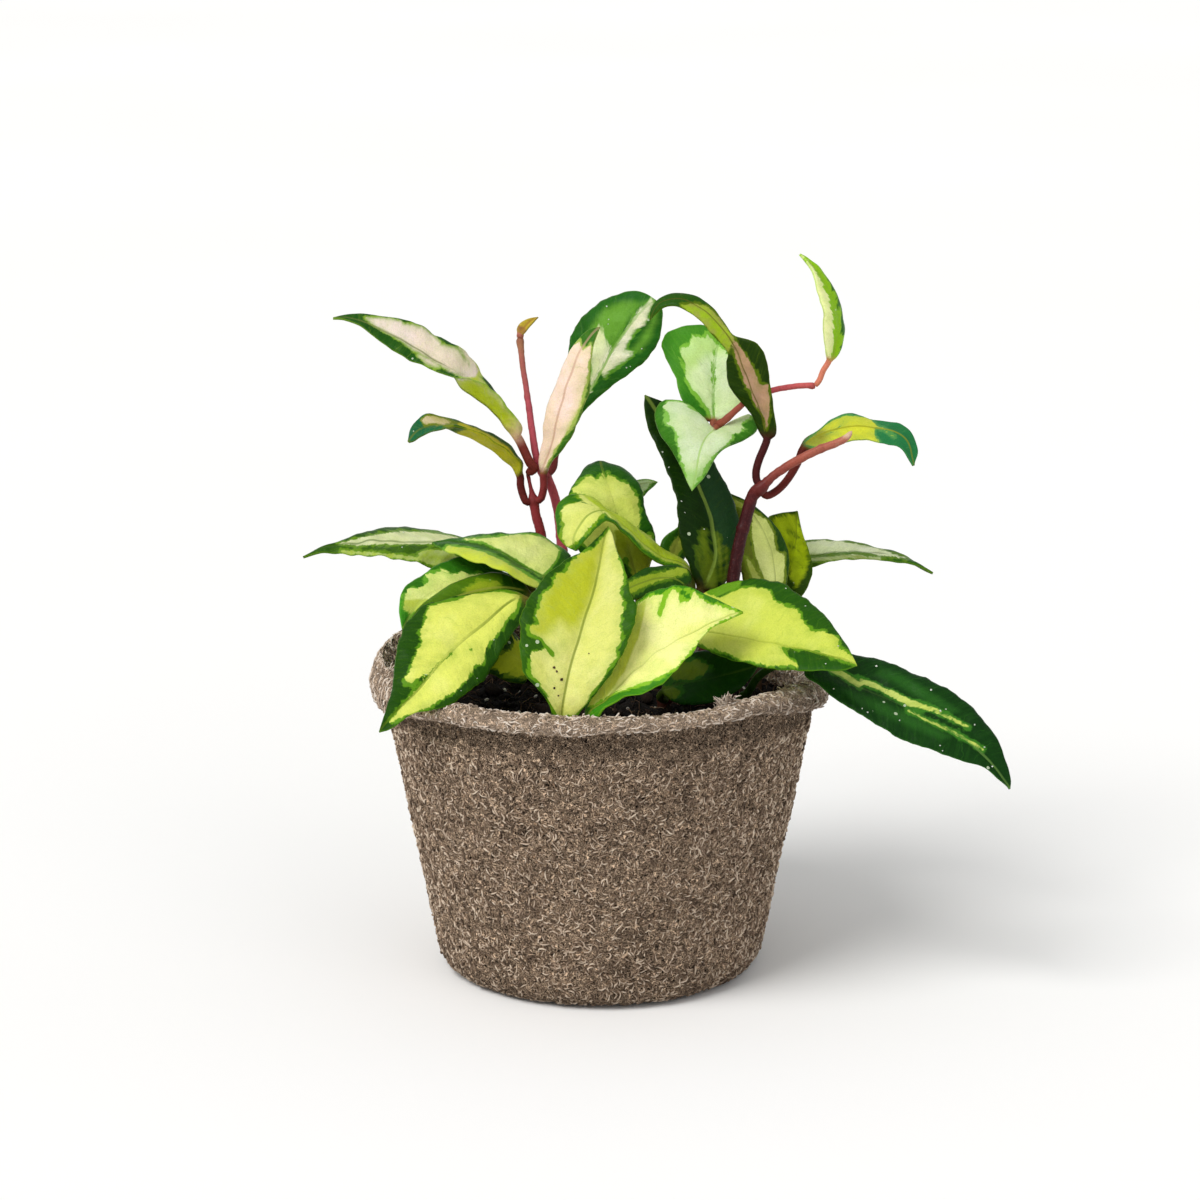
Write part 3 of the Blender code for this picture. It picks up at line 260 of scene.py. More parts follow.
             (814, 439, -3.5), (835, 431, -3), (855, 428, -2), (875, 430, -0.5), (893, 433, 1), (906, 443, 2),
             (913, 466, 3)],
        blade=5,
        a=[(806, 440, -5), (820, 429, -6.5), (832, 419, -7.5), (850, 413, -7.5), (870, 418, -6.5), (885, 421, -5),
           (900, 424, -3), (912, 433, -0.5), (918, 452, 1.5)],
        b=[(815, 449, -3), (835, 446, -0.8), (855, 441, 2), (870, 440, 4), (888, 444, 5), (900, 448, 4.5),
           (908, 458, 4)],
        face="under", seen=0.4),
    "leaf_top_right": dict(
        mid=[(819.5, 380, -5.4), (823, 371, -5.2), (829, 361, -5), (835, 342, -4.5), (838, 322, -4),
             (832, 300, -3.5), (822, 281, -3), (811, 266, -3), (800, 254, -3)],
        blade=2,
        a=[(826, 352, -3), (824, 330, -1), (820, 305, 0), (816, 285, 0), (812, 271, -1), (806, 261, -2)],
        b=[(836, 356, -6), (841, 345, -7), (844, 330, -8), (843, 315, -8), (838, 300, -7.5), (829, 282, -6.5),
           (820, 269, -5.5), (810, 260, -4)],
        stalk=0.7),
    "leaf_far_right": dict(
        mid=[(768, 596, -21.8), (770, 584, -24), (777, 572, -26.5), (790, 563, -28), (812, 557, -28.5),
             (835, 554, -28), (860, 553, -27.5), (900, 558, -26.5), (933, 573, -25)],
        blade=2,
        a=[(786, 552, -34), (808, 540, -37), (835, 541, -38), (860, 545, -37.5), (880, 550, -35.5),
           (905, 558, -31), (920, 566, -28)],
        b=[(793, 572, -26), (812, 568, -24), (830, 562, -23), (850, 559, -22.5), (890, 561, -22.5),
           (915, 565, -23.5)],
        ),
    "leaf_behind_stem": dict(
        mid=[(739, 620, -2.3), (750, 622, -4), (765, 615, -7), (772, 600, -9), (774, 580, -10), (770, 552, -10.5),
             (761, 530, -11), (747, 509, -12), (729, 493, -13)],
        blade=3,
        a=[(752, 598, -8.5), (743, 578, -8), (738, 553, -8.2), (734, 528, -9.5), (729, 506, -12)],
        b=[(784, 592, -11), (789, 570, -12), (789, 553, -12.5), (784, 539, -13), (777, 527, -13), (767, 517, -13),
           (757, 508, -13), (745, 500, -13), (736, 496, -13)],
        ),
    "leaf_underside_right": dict(
        mid=[(773, 597, -19), (780, 590, -18.5), (787, 580, -18), (792, 560, -18), (795, 545, -18), (797, 530, -18.5),
             (797.5, 511, -19)],
        blade=1,
        a=[(775, 580, -20.5), (766, 565, -22), (763, 545, -23), (764, 528, -23), (768, 517, -23), (782, 513, -21.5)],
        b=[(792, 600, -17), (803, 595, -16.5), (811, 578, -16.5), (812, 565, -17), (809, 550, -17.5),
           (804, 537, -18), (800, 524, -18.5)],
        face="under"),
    "leaf_round_top": dict(
        mid=[(640, 604, -9.5), (638, 596, -9.3), (636, 582, -9), (628, 550, -8), (618, 520, -8), (608, 490, -9.5),
             (602, 470, -13), (600, 462, -18), (602, 467, -23), (604, 476, -26)],
        blade=2,
        a=[(615, 573, -6), (588, 558, -4), (567, 535, -3.5), (564, 512, -5), (570, 490, -8.5), (580, 474, -13.5),
           (590, 466, -19), (597, 468, -23)],
        b=[(648, 570, -9.5), (656, 548, -10), (652, 527, -10.5), (646, 512, -11), (643, 495, -12.5),
           (635, 479, -16.5), (622, 467, -21), (611, 469, -24.5)],
        seen=0.4),
    "leaf_bent_over": dict(
        mid=[(693, 599, -3), (692, 588, -4.5), (690, 576, -5), (683, 567, -4.5), (660, 556, -2.5), (638, 541, -0.5),
             (618, 523, 1.5), (603, 513, 3.5), (590, 516, 6), (580, 527, 8), (574, 540, 9.5), (576, 551, 10.5)],
        blade=2,
        a=[(683, 560, -8), (662, 549, -7.5), (642, 533, -6), (622, 516, -4), (602, 504, -1.5), (588, 497.5, 0.5),
           (575, 494.5, 2.5), (563, 498, 4.5), (555.5, 509, 6), (555.5, 522, 7.5), (558, 537, 9), (567, 547, 10)],
        b=[(683, 573, -1.5), (674, 569, -0.5), (659, 564, 1), (644, 553, 3), (632, 541, 4.5), (621, 529, 6.2),
           (613, 521, 7.8), (606, 519, 9),
           (597, 528, 10.5), (588, 538, 11.5), (580, 547, 11.5)],
        seen=0.85, rings=20),
    "leaf_back_tip": dict(
        mid=[(640, 606, -14), (636, 590, -20), (626, 565, -26), (617, 540, -29.5), (614, 515, -32), (621, 497, -33),
             (638, 486, -33), (658, 482, -33)],
        blade=2,
        a=[(605, 545, -28.5), (599, 520, -31.5), (605, 498, -34), (622, 484, -35), (645, 479, -34.5)],
        b=[(632, 548, -29), (633, 527, -30.5), (637, 508, -31.5), (646, 494, -32), (653, 487, -32.5)],
        face="under"),
    "leaf_small_middle": dict(
        mid=[(681, 627, 1.2), (676, 612, -4), (671, 590, -9), (670, 574, -11.5), (671, 560, -12.5), (677, 540, -13.5),
             (688, 518, -14.5), (700, 498, -15.5)],
        blade=3,
        a=[(661, 560, -11), (660, 545, -11.5), (666, 536, -12), (678, 527, -13), (690, 510, -14.5)],
        b=[(682, 562, -14.5), (694, 542, -16.5), (703, 522, -17), (705, 506, -16.5)],
        ),
    "leaf_low_middle": dict(
        mid=[(686, 608, 3.2), (685, 599, 5), (684, 589, 6.2), (677, 581, 6.8), (660, 579, 7.4), (640, 584, 9),
             (620, 594, 10.5), (602, 607, 12)],
        blade=2,
        a=[(692, 580, 5.2), (690, 571, 4.8), (681, 566, 4.6), (664, 565, 4.8), (646, 569, 6), (628, 579, 8)],
        b=[(681, 591, 8.5), (662, 592, 10), (642, 597, 12), (620, 605, 13)],
        ),
}

# Each stem: root (across, out), path above the soil, radii in millimetres from the
# root's end to the tip.
STEMS = {
    "stem_left": dict(
        root=(549, -17), path=[(547, 640, -17.5), (544, 580, -18), (541, 535, -18), (536, 515, -18),
                               (533.5, 501, -18), (531, 489, -17.5), (527.5, 473, -17)],
        radii=[1.5, 1.5, 1.45, 1.35, 1.25, 1.15, 1.1, 0.5, 0.4]),
    "stem_left_rear": dict(
        root=(573, -22), path=[(568, 620, -22), (563, 560, -22), (558, 512, -22), (552.5, 490, -21.5),
                               (547, 478, -20.5), (541, 471, -19), (537.5, 462, -17.5), (534, 444, -17),
                               (530, 415, -17), (526, 387, -17), (522, 360, -16.5), (520, 338, -16.3)],
        radii=[1.3, 1.3, 1.3, 1.25, 1.15, 1.1, 1.05, 1.0, 0.95, 0.88, 0.8, 0.7, 0.72, 0.88],
        ),
    "stem_right": dict(
        root=(727, 0), path=[(728, 660, 0), (731, 600, 0), (738, 550, 0), (746, 518, 0), (754, 494, 0.5),
                             (762, 487, 1.2), (772, 477, 1.6), (786, 467, 2), (800, 459, 2.4), (818, 450, 3),
                             (835, 443.5, 3.8), (846, 438, 4.6), (852, 431, 5)],
        radii=[1.8, 1.8, 1.7, 1.6, 1.5, 1.5, 1.5, 1.15, 1.05, 1.05, 1.05, 1.0, 0.95, 0.85, 0.5],
        ),
    "stem_right_rear": dict(
        root=(704, -12), path=[(704, 640, -12), (706, 580, -12), (707, 530, -12), (706, 490, -11.5),
                               (707, 462, -9.5), (710, 446, -7.5), (713.5, 433, -4.2), (718, 425.5, -0.9),
                               (727.5, 418, 0.9), (740, 406.5, -0.4), (752, 398, -2.2), (770, 391, -3.6), (790, 387, -4.6),
                               (806, 385.5, -5.2), (815, 386, -5.5)],
        radii=[1.3, 1.3, 1.3, 1.2, 1.1, 1.05, 1.0, 0.95, 0.9, 0.85, 0.8, 0.75, 0.7, 0.7, 0.7, 0.7, 0.75],
        ),
    "stem_front_left": dict(
        root=(555, 0), path=[(553, 675, 0.6), (549, 640, 1.2), (548, 596, 1.3)],
        radii=[1.4, 1.4, 1.35, 1.3, 1.2]),
    "stem_middle": dict(
        root=(664, 5), path=[(668, 690, 5.4), (676, 655, 6), (688, 618, 3.5), (697, 598, 0)],
        radii=[1.5, 1.5, 1.45, 1.4, 1.3, 1.1]),
    "stem_back": dict(
        root=(644, -13), path=[(643, 655, -12.5), (641, 613, -10.5)],
        radii=[1.4, 1.4, 1.35, 1.2]),
    "stem_far_right": dict(
        root=(757, -19), path=[(761, 650, -20), (768, 606, -20)],
        radii=[1.3, 1.3, 1.25, 1.1]),
}

# ---- variegation -------------------------------------------------------------
# Each leaf's colours and the outlines of its fields on the sheet. pale = fields of the
# first colour, with (g0, g1) shares of the blade's length where they hold; inset =
# (g0, g1, green margin at side a, at side b) in millimetres; cut and lines take green
# back out of them; streaks add narrow pale lines; tone = fields where the second
# colours hold. Lines are (width in sheet units, points).
LOOKS = {
    "leaf_front_left": dict(
        pale=[[(520, 598), (518, 605), (515, 613), (506, 621), (502, 628), (495, 637), (486, 648), (483, 663),
               (473, 668), (466, 682), (455, 693), (443, 699), (431, 707), (410, 715), (394, 722), (390, 723), (398, 712),
               (408, 701), (417, 691), (426, 681), (431, 675), (424, 676), (417, 680), (413, 686), (406, 684),
               (405.5, 679), (411, 669), (414, 661), (418, 651), (423, 644), (420, 635), (422, 628), (426, 618),
               (428, 608), (443, 604), (457, 601), (473, 595), (491, 593), (503, 593), (515, 596)]],
        lines=[(4, [(408, 643), (419, 643.5)]), (3, [(470, 650), (471, 651)]), (1.6, [(452, 654), (440, 664), (430, 674)])],
        colours=dict(pale=(230, 235, 110), pale2=(214, 222, 88), dark=(31, 73, 7), dark2=(28, 66, 8), mid=(96, 148, 24),
                     rib=(98, 122, 20), stalk=(120, 112, 46)), wave=0.8, rib_width=0.36, seed=3),
    "leaf_front_middle": dict(
        pale=[[(614, 530), (608.5, 532), (594, 549), (581, 554), (571, 563), (567, 572), (556, 576), (552, 588),
               (543, 594), (540.5, 605), (536, 617), (539, 625), (528, 626), (531, 635), (543, 639), (546, 646), (542, 652),
               (532, 651), (531, 659), (531, 676), (539, 681), (547, 694), (552, 707), (559, 716), (577, 713),
               (586, 702), (597, 685), (605, 677), (608, 668), (618, 656), (615, 652), (620, 643), (622, 634),
               (619, 625), (622, 614), (623, 604), (620, 593), (624, 581), (623, 570), (618, 557), (615, 543)]],
        lines=[(3.5, [(541, 641), (553, 654)])],
        # tone: painted shade, the left half duller and darker (pale2, dark2) as it faces away from the light
        tone=[[(608, 524), (604, 542), (599, 568), (593, 595), (587, 610), (580, 626), (570, 630), (560, 622), (548, 636),
               (534, 640), (500, 650), (500, 520)]], tone_soft=2.2,
        colours=dict(pale=(222, 224, 122), pale2=(188, 195, 44), dark=(46, 92, 12), dark2=(38, 80, 10), mid=(100, 150, 24),
                     rib=(120, 136, 30), stalk=(150, 150, 60)), wave=0.8, seed=5),
    "leaf_front_right": dict(
        pale=[[(588, 709), (617, 662), (635, 618), (638, 603), (645, 601), (654, 596), (660, 597), (674, 591),
               (695, 594), (701, 599), (706, 605), (715, 606), (731, 611), (740, 614), (731, 618), (720, 623),
               (708, 631), (707, 636), (696, 645), (687, 656), (678, 666), (669, 673), (660, 678), (647, 683),
               (635, 687), (618, 692), (606, 698), (594, 706)]],
        cut=[[(676, 588), (692, 588), (692, 601), (680, 604)]],
        lines=[(5, [(668, 590), (663, 603), (659, 616)])],
        tone=[[(580, 712), (617, 655), (632, 610), (646, 600), (640, 636), (626, 672), (602, 706)]],
        colours=dict(pale=(246, 247, 150), pale2=(206, 214, 74), dark=(60, 134, 20), dark2=(42, 108, 14), mid=(140, 196, 40),
                     rib=(150, 170, 50), stalk=(170, 175, 90)), wave=0.8, seed=8),
    "leaf_right_wide": dict(
        pale=[[(686, 600), (704, 592), (719, 600), (743, 589), (757, 589), (769, 592), (775, 602), (787, 608), (798, 611),
               (803, 622), (812, 633), (822, 632), (837, 638), (839, 650), (853, 657), (859, 666), (816, 652),
               (778, 647), (784, 655), (793, 661), (798, 667), (779, 666), (768, 666),
               (743, 661), (728, 654), (718, 651), (700, 646), (690, 640)]],
        tone=[[(700, 578), (743, 578), (740, 588), (719, 598), (702, 596)]],
        colours=dict(pale=(210, 220, 90), pale2=(196, 210, 76), dark=(36, 84, 12), dark2=(106, 156, 34), mid=(100, 152, 26),
                     rib=(140, 158, 44), stalk=(130, 120, 50)), wave=0.8, seed=11),
    "leaf_right_hanging": dict(
        pale=[[(857, 679), (873, 684), (894, 693), (914, 702), (935, 709), (969, 727), (968, 729.5), (950, 721),
               (932, 712.5), (906, 706), (882, 693), (862, 684.5)]],
        streaks=[(5, [(831, 670), (845, 677), (859, 686)]), (2.2, [(908, 711), (926, 721), (954, 733), (982, 750)])],
        tone=[[(842, 690), (870, 697), (900, 711), (928, 724), (950, 737), (940, 740), (908, 727), (876, 713), (848, 698)],
              [(880, 668), (906, 678), (932, 694), (958, 712), (950, 714), (922, 700), (896, 686), (876, 676)]],
        colours=dict(pale=(208, 222, 106), pale2=(208, 222, 106), dark=(17, 56, 14), dark2=(38, 88, 28), mid=(60, 124, 34),
                     rib=(120, 160, 80), stalk=(60, 100, 34)), fleck=0.9, jag=1.0, tone_soft=1.1, wave=0.4, seed=14),
    "leaf_soil_right": dict(
        pale=[[(668, 668), (682, 663), (700, 661), (710, 668), (704, 676), (690, 681), (674, 681)], [(658, 688), (672, 687), (682, 693), (676, 700), (660, 699)]],
        colours=dict(pale=(96, 116, 22), pale2=(110, 140, 30), dark=(20, 62, 12), dark2=(20, 62, 12), mid=(44, 96, 18),
                     rib=(70, 100, 30), stalk=(60, 80, 20)), seed=17),
    "leaf_soil_left": dict(
        inset=[(0.0, 1.0, 1.6, 1.6)],
        cut=[[(484, 630), (506, 628), (516, 640), (508, 652), (492, 657), (482, 645)]],
        colours=dict(pale=(190, 202, 40), pale2=(200, 212, 70), dark=(34, 74, 14), dark2=(34, 74, 14), mid=(110, 140, 24),
                     rib=(130, 140, 40), stalk=(90, 90, 30)), jag=3.4, seed=18),
    "leaf_left_yellow": dict(
        pale=[[(403, 598), (410, 588), (423, 588), (428, 583), (426, 574), (435, 574), (440, 570), (452, 576),
               (461, 573), (471, 576), (480, 574), (490, 580), (470, 590), (437, 600), (418, 612), (410, 614), (403, 608)]],
        tone=[[(395, 600), (470, 600), (470, 640), (395, 640)]],
        colours=dict(pale=(236, 246, 142), pale2=(200, 214, 76), dark=(48, 112, 22), dark2=(66, 150, 34), mid=(108, 172, 46),
                     rib=(150, 170, 70), stalk=(100, 100, 40)), seed=21),
    "leaf_left_edge": dict(
        pale=[[(466, 588), (478, 583), (496, 583), (500, 587), (480, 592), (466, 593)]],
        tone=[[(500, 570), (540, 575), (545, 605), (520, 606), (503, 598)]],
        colours=dict(pale=(150, 168, 34), pale2=(172, 184, 40), dark=(76, 116, 16), dark2=(36, 82, 10), mid=(122, 152, 28),
                     rib=(150, 160, 60), stalk=(100, 100, 40)), wave=0.5, seed=22),
    "leaf_left_broad": dict(
        pale=[[(464, 541), (481, 540), (498, 539), (515, 536), (532, 536), (548, 541), (559, 551), (556, 560), (548, 571),
               (542, 577), (515, 560), (498, 550), (481, 543)],
              [(448, 547.5), (470, 550.5), (485, 554.5), (500, 561), (515, 570), (530, 579), (545, 589), (545, 606),
               (520, 600), (490, 588), (460, 570), (440, 556)]],
        tone=[[(432, 544), (452, 546), (472, 548), (487, 551.5), (502, 557.5), (517, 566), (532, 575), (547, 586),
               (545, 600), (500, 590), (430, 560)]],
        colours=dict(pale=(228, 236, 138), pale2=(204, 214, 62), dark=(44, 100, 22), dark2=(40, 92, 16), mid=(110, 164, 48),
                     rib=(60, 96, 20), stalk=(100, 100, 40)), jag=0.9, wave=0.5, rib_width=0.5, seed=25),
    "leaf_far_left": dict(
        pale=[[(339, 545), (360, 540), (380, 535.5), (400, 533), (428, 534), (450, 537), (462, 541), (450, 544),
               (420, 545.5), (380, 546), (355, 547)],
              [(418, 554), (434, 551), (452, 553), (457, 559), (448, 566), (430, 566), (419, 561)]],
        streaks=[(2.8, [(342, 553), (372, 555), (398, 557.5), (424, 561), (452, 565)])],
        tone=[[(330, 548), (355, 549), (380, 548), (420, 547.5), (450, 546), (470, 546), (560, 562), (560, 600), (330, 600)]],
        colours=dict(pale=(226, 230, 176), pale2=(160, 184, 49), dark=(44, 86, 12), dark2=(58, 98, 14), mid=(104, 144, 30),
                     rib=(70, 104, 18), stalk=(100, 90, 40)), jag=1.4, wave=0.35, rib_width=0.45, seed=28),
    "leaf_upper_left": dict(
        pale=[([(366, 319), (375, 319), (385, 320), (399, 322), (409, 325), (423, 329), (434, 338), (441, 346),
                (455, 350), (461, 357), (466, 364), (472, 374), (470, 379), (458, 376), (448, 371), (437, 365), (423, 356), (413, 351),
                (401, 341), (386, 333), (374, 326)], 0.3, 1.0),
              ([(417, 356), (430, 361), (439, 367), (436, 369), (425, 363)], 0.3, 1.0),
              ([(458, 346), (468, 352), (476, 364), (482, 376), (474, 380), (468, 366)], 0.2, 0.7)],
        inset=[(0.0, 0.40, 3.6, 0.2)],
        tone=[[(456, 346), (470, 344), (482, 358), (492, 374), (530, 420), (535, 445), (500, 445), (440, 392), (444, 376),
               (462, 379), (474, 378), (477, 372), (473, 362), (466, 352)]],
        cut=[[(401, 318), (414, 320), (415, 326), (402, 325)], [(437, 336), (452, 337), (453, 346), (440, 346)]],
        soft=0.45, colours=dict(pale=(242, 224, 206), pale2=(190, 206, 40), dark=(34, 84, 20), dark2=(30, 74, 12), mid=(136, 172, 52),
                     rib=(120, 130, 70), stalk=(120, 50, 44), collar=(240, 196, 170)), jag=1.0, wave=0.5, collar_length=0.18, seed=31),
    "leaf_small_left": dict(
        pale=[[(422, 421), (428, 417), (436, 418), (446, 421), (452, 425), (442, 426), (432, 424), (426, 426)]],
        inset=[(0.0, 0.58, 2.4, 0.2)],
        tone=[[(400, 405), (447, 405), (455, 420), (450, 432), (430, 450), (400, 450)]],
        colours=dict(pale=(196, 186, 34), pale2=(214, 196, 160), dark=(52, 90, 22), dark2=(26, 100, 62), mid=(120, 132, 30),
                     rib=(130, 130, 40), stalk=(100, 36, 34)), jag=0.8, wave=0.5, seed=34),
    "leaf_bud": dict(
        inset=[(0.0, 1.0, 0.05, 0.05)],
        tone_range=(0.0, 0.35),
        colours=dict(pale=(190, 166, 54), pale2=(150, 96, 70), dark=(120, 110, 34), dark2=(120, 90, 40), mid=(150, 132, 40),
                     rib=(160, 120, 50), stalk=(176, 108, 92)), jag=0.4, seed=35),
    "leaf_pink": dict(
        pale=[[(530, 472), (530, 440), (540, 410), (547, 388), (556, 366), (566, 350), (580, 341), (583, 351),
               (592, 345), (590, 362), (587, 382), (581, 407), (568, 432), (555, 452), (547, 466), (546, 472)]],
        streaks=[(2.0, [(548, 470), (546, 462)])],
        tone=[[(588, 376), (592, 376), (590, 396), (582, 416), (570, 438), (558, 452), (554, 452), (564, 438), (576, 414), (584, 396)]],
        tone_soft=0.5,
        colours=dict(pale=(252, 222, 200), pale2=(196, 204, 84), dark=(52, 110, 24), dark2=(70, 124, 34), mid=(170, 190, 90),
                     rib=(205, 165, 140), stalk=(130, 50, 50)), jag=1.6, seed=38),
    "leaf_upper_middle": dict(
        pale=[[(591, 392), (593, 356), (594, 344), (597, 327), (601, 323), (603, 335), (610, 346), (610, 353),
               (600, 370)],
              [(601, 371), (615, 349), (628, 328), (640, 310), (652, 299), (653, 303), (650, 313), (647, 322),
               (635, 331), (630, 339), (625, 351), (635, 353), (621, 363), (605, 377)]],
        tone=[[(610, 349), (612, 330), (622, 315), (636, 303), (648, 301), (636, 311), (624, 328), (612, 350)],
              [(588, 345), (592, 326), (602, 312), (616, 304), (632, 300), (640, 304), (626, 318), (616, 334), (606, 352),
               (598, 372), (588, 384), (582, 366)],
              [(632, 350), (642, 338), (650, 322), (656, 308), (657, 322), (650, 340), (640, 352)]],
        tone_soft=1.1,
        soft=0.3, colours=dict(pale=(244, 240, 208), pale2=(228, 236, 176), dark=(36, 98, 24), dark2=(104, 160, 52), mid=(96, 154, 42),
                     rib=(140, 180, 90), stalk=(130, 60, 60)), wave=0.6, seed=41),
    "leaf_arching": dict(
        pale=[([(734, 338), (746, 354), (753, 366), (758, 377), (760, 384), (769, 384), (770, 395), (770, 415),
                (768, 429), (765, 416), (759, 408), (753, 399), (752, 392), (746, 384), (742, 371), (736, 357), (733, 343)], 0.0, 0.6),
              ([(681, 306), (695, 304.5), (706, 307.5), (719, 318), (733, 337), (731, 346), (728, 352), (722, 345), (712, 334),
                (702, 323), (694, 316), (686, 311)], 0.40, 1.0)],
        tone=[[(640, 285), (745, 285), (745, 336), (734, 337), (730, 354), (715, 352), (640, 340)]],
        colours=dict(pale=(194, 152, 122), pale2=(150, 186, 8), dark=(30, 56, 4), dark2=(40, 84, 16), mid=(92, 116, 14),
                     rib=(96, 92, 30), stalk=(70, 26, 26)), jag=1.2, wave=0.5, rib_width=0.2, seed=44),
    "leaf_pale_rear": dict(
        pale=[[(728, 356), (707, 335), (703, 339), (693, 337), (689, 347), (679, 350), (685, 364), (686, 378),
               (692, 391), (700, 398), (708, 410), (712, 426), (722, 426), (742, 404), (750, 392), (752, 372), (746, 358),
               (738, 350)]],
        lines=[(4, [(713, 366), (713, 382)]), (1.6, [(714, 350), (713, 420)])],
        tone=[[(670, 325), (740, 325), (736, 352), (706, 358), (690, 372), (684, 392), (670, 392)]], tone_soft=1.6,
        colours=dict(pale=(228, 246, 188), pale2=(200, 232, 140), dark=(48, 118, 20), dark2=(70, 140, 34), mid=(130, 190, 62),
                     rib=(110, 164, 60), stalk=(150, 86, 64)), wave=0.6, seed=47),
    "leaf_heart": dict(
        pale=[[(714, 427), (702, 417), (690, 409), (680, 402), (666, 402), (664, 410), (671, 417), (666, 423), (676, 430),
               (678, 440), (679, 450), (683, 464), (686, 476), (690, 490), (703, 472), (709, 461), (713, 457),
               (720, 450), (728, 444), (734, 434), (745, 430), (739, 426), (751, 417), (745, 412), (730, 419), (720, 426)]],
        tone=[[(680, 470), (706, 470), (698, 496), (686, 494)]], tone_soft=1.5,
        colours=dict(pale=(206, 222, 172), pale2=(160, 200, 118), dark=(56, 118, 26), dark2=(106, 166, 66), mid=(132, 188, 78),
                     rib=(160, 196, 104), stalk=(150, 86, 64)), wave=0.6, seed=50),
    "leaf_tall_dark": dict(
        pale=[[(701, 560), (712, 556), (716, 570), (714, 588), (704, 586)]],
        # tone: painted sheen, the right half a grey-green reflection (dark2)
        tone=[[(672, 400), (700, 430), (740, 500), (745, 540), (735, 590), (716, 560), (714, 530), (704, 500), (690, 460),
               (662, 420)]],
        streaks=[(7, [(702, 534), (704, 550), (708, 568), (712, 586)]), (4, [(716, 536), (719, 556), (720, 576)]),
                 (2.2, [(696, 546), (699, 562), (704, 578)]), (2.2, [(725, 548), (726, 566), (722, 582)])],
        colours=dict(pale=(100, 120, 18), pale2=(124, 140, 40), dark=(18, 44, 6), dark2=(32, 66, 34), mid=(60, 88, 14),
                     rib=(146, 172, 72), stalk=(70, 60, 20)), fleck=0.35, jag=2.6, soft=0.5, tone_soft=1.6, rib_width=0.44, wave=0.7, seed=53),
    "leaf_right_curled": dict(
        pale=[[(806, 446), (812, 438), (822, 430), (833, 422), (845, 417), (868, 419), (876, 426), (874, 436), (880, 444), (865, 440),
               (835, 443), (815, 448)]],
        streaks=[(1.3, [(876, 428), (884, 431), (893, 438)])],
        lines=[(1.5, [(812, 412), (815, 420), (813, 430), (816, 438)]), (1.2, [(826, 437), (838, 430), (846, 420)])],
        tone=[[(785, 444), (802, 438), (812, 428), (814, 410), (822, 410), (822, 430), (832, 436), (818, 449), (798, 456)]],
        colours=dict(pale=(214, 216, 56), pale2=(150, 142, 30), dark=(24, 118, 68), dark2=(90, 96, 18), mid=(80, 148, 78),
                     rib=(150, 150, 30), stalk=(96, 36, 30)), rib_width=0.3, tone_soft=0.9, jag=0.9, wave=0.5, seed=56),
    "leaf_top_right": dict(
        pale=[[(790, 248), (802, 256), (812, 268), (820, 283), (827, 299), (832, 320), (833, 340), (829, 357), (818, 360),
               (800, 345), (796, 300), (788, 262)]],
        colours=dict(pale=(250, 252, 184), pale2=(230, 240, 140), dark=(46, 108, 16), dark2=(46, 108, 16), mid=(150, 204, 26),
                     rib=(150, 170, 60), stalk=(216, 130, 104)), mid_width=1.9, seed=59),
    "leaf_far_right": dict(
        pale=[[(806, 544), (820, 541.5), (838, 542.5), (860, 546.5), (880, 551), (906, 559.5), (884, 557.5), (858, 553),
               (835, 553.5), (806, 557)]],
        streaks=[(2.4, [(812, 561), (830, 560), (850, 557.5), (880, 560)])],
        tone=[[(800, 555), (860, 556), (930, 570), (925, 580), (800, 580)]],
        colours=dict(pale=(244, 252, 206), pale2=(138, 154, 40), dark=(44, 98, 16), dark2=(64, 98, 12), mid=(104, 140, 36),
                     rib=(70, 90, 24), stalk=(90, 90, 40)), jag=1.0, wave=0.4, rib_width=0.4, seed=62),
    "leaf_behind_stem": dict(
        pale=[[(752, 512), (759, 517), (766, 521), (773, 533), (774, 544), (776, 553), (784, 554), (784, 565), (783, 583),
               (768, 592), (763, 576), (755, 556), (751, 535)],
              [(744, 556), (750, 562), (757, 574), (763, 588), (758, 590), (750, 574)], [(733, 500), (744, 504), (746, 510), (736, 507)]],
        tone=[[(725, 495), (750, 505), (750, 545), (766, 590), (745, 600), (730, 560)]],
        colours=dict(pale=(230, 239, 142), pale2=(168, 180, 58), dark=(32, 74, 14), dark2=(100, 112, 28), mid=(120, 142, 36),
                     rib=(110, 130, 40), stalk=(90, 80, 30)), tone_soft=0.5, jag=0.7, seed=65),
    "leaf_underside_right": dict(
        pale=[[(770, 520), (783, 516), (796, 515), (801, 526), (806, 545), (808, 560), (805, 574), (797, 587), (790, 572),
               (787, 548), (779, 531)]],
        lines=[(2.6, [(790, 531), (799, 538)]), (2.4, [(789, 544), (801, 552)]), (2.2, [(793, 562), (803, 566)])],
        colours=dict(pale=(184, 206, 14), pale2=(184, 206, 14), dark=(34, 66, 6), dark2=(34, 66, 6), mid=(88, 118, 10),
                     rib=(110, 126, 20), stalk=(80, 70, 30)), jag=3.0, soft=0.5, seed=68),
    "leaf_round_top": dict(
        pale=[([(572, 490), (585, 479), (591, 477), (596, 481), (602, 474), (605, 481), (608, 473), (613, 479),
                (619, 482), (628, 486), (632, 491), (636, 499), (639, 509), (639, 528), (629, 522), (611, 511),
                (600, 504), (585, 495), (572, 494)], 0.3, 0.86),
              ([(572, 494), (600, 504), (639, 528), (640, 540), (622, 560), (596, 556), (574, 535), (570, 512)], 0.1, 0.8),
              ([(622, 536), (652, 536), (654, 575), (632, 578)], 0.0, 0.5)],
        inset=[(0.8, 1.0, 1.0, 1.0)],
        tone=[[(615, 530), (660, 530), (660, 580), (615, 580)]],
        streaks=[],
        colours=dict(pale=(218, 227, 106), pale2=(166, 178, 36), dark=(34, 88, 16), dark2=(32, 78, 14), mid=(98, 150, 30),
                     rib=(140, 150, 50), stalk=(90, 80, 30)), seed=71),
    "leaf_bent_over": dict(
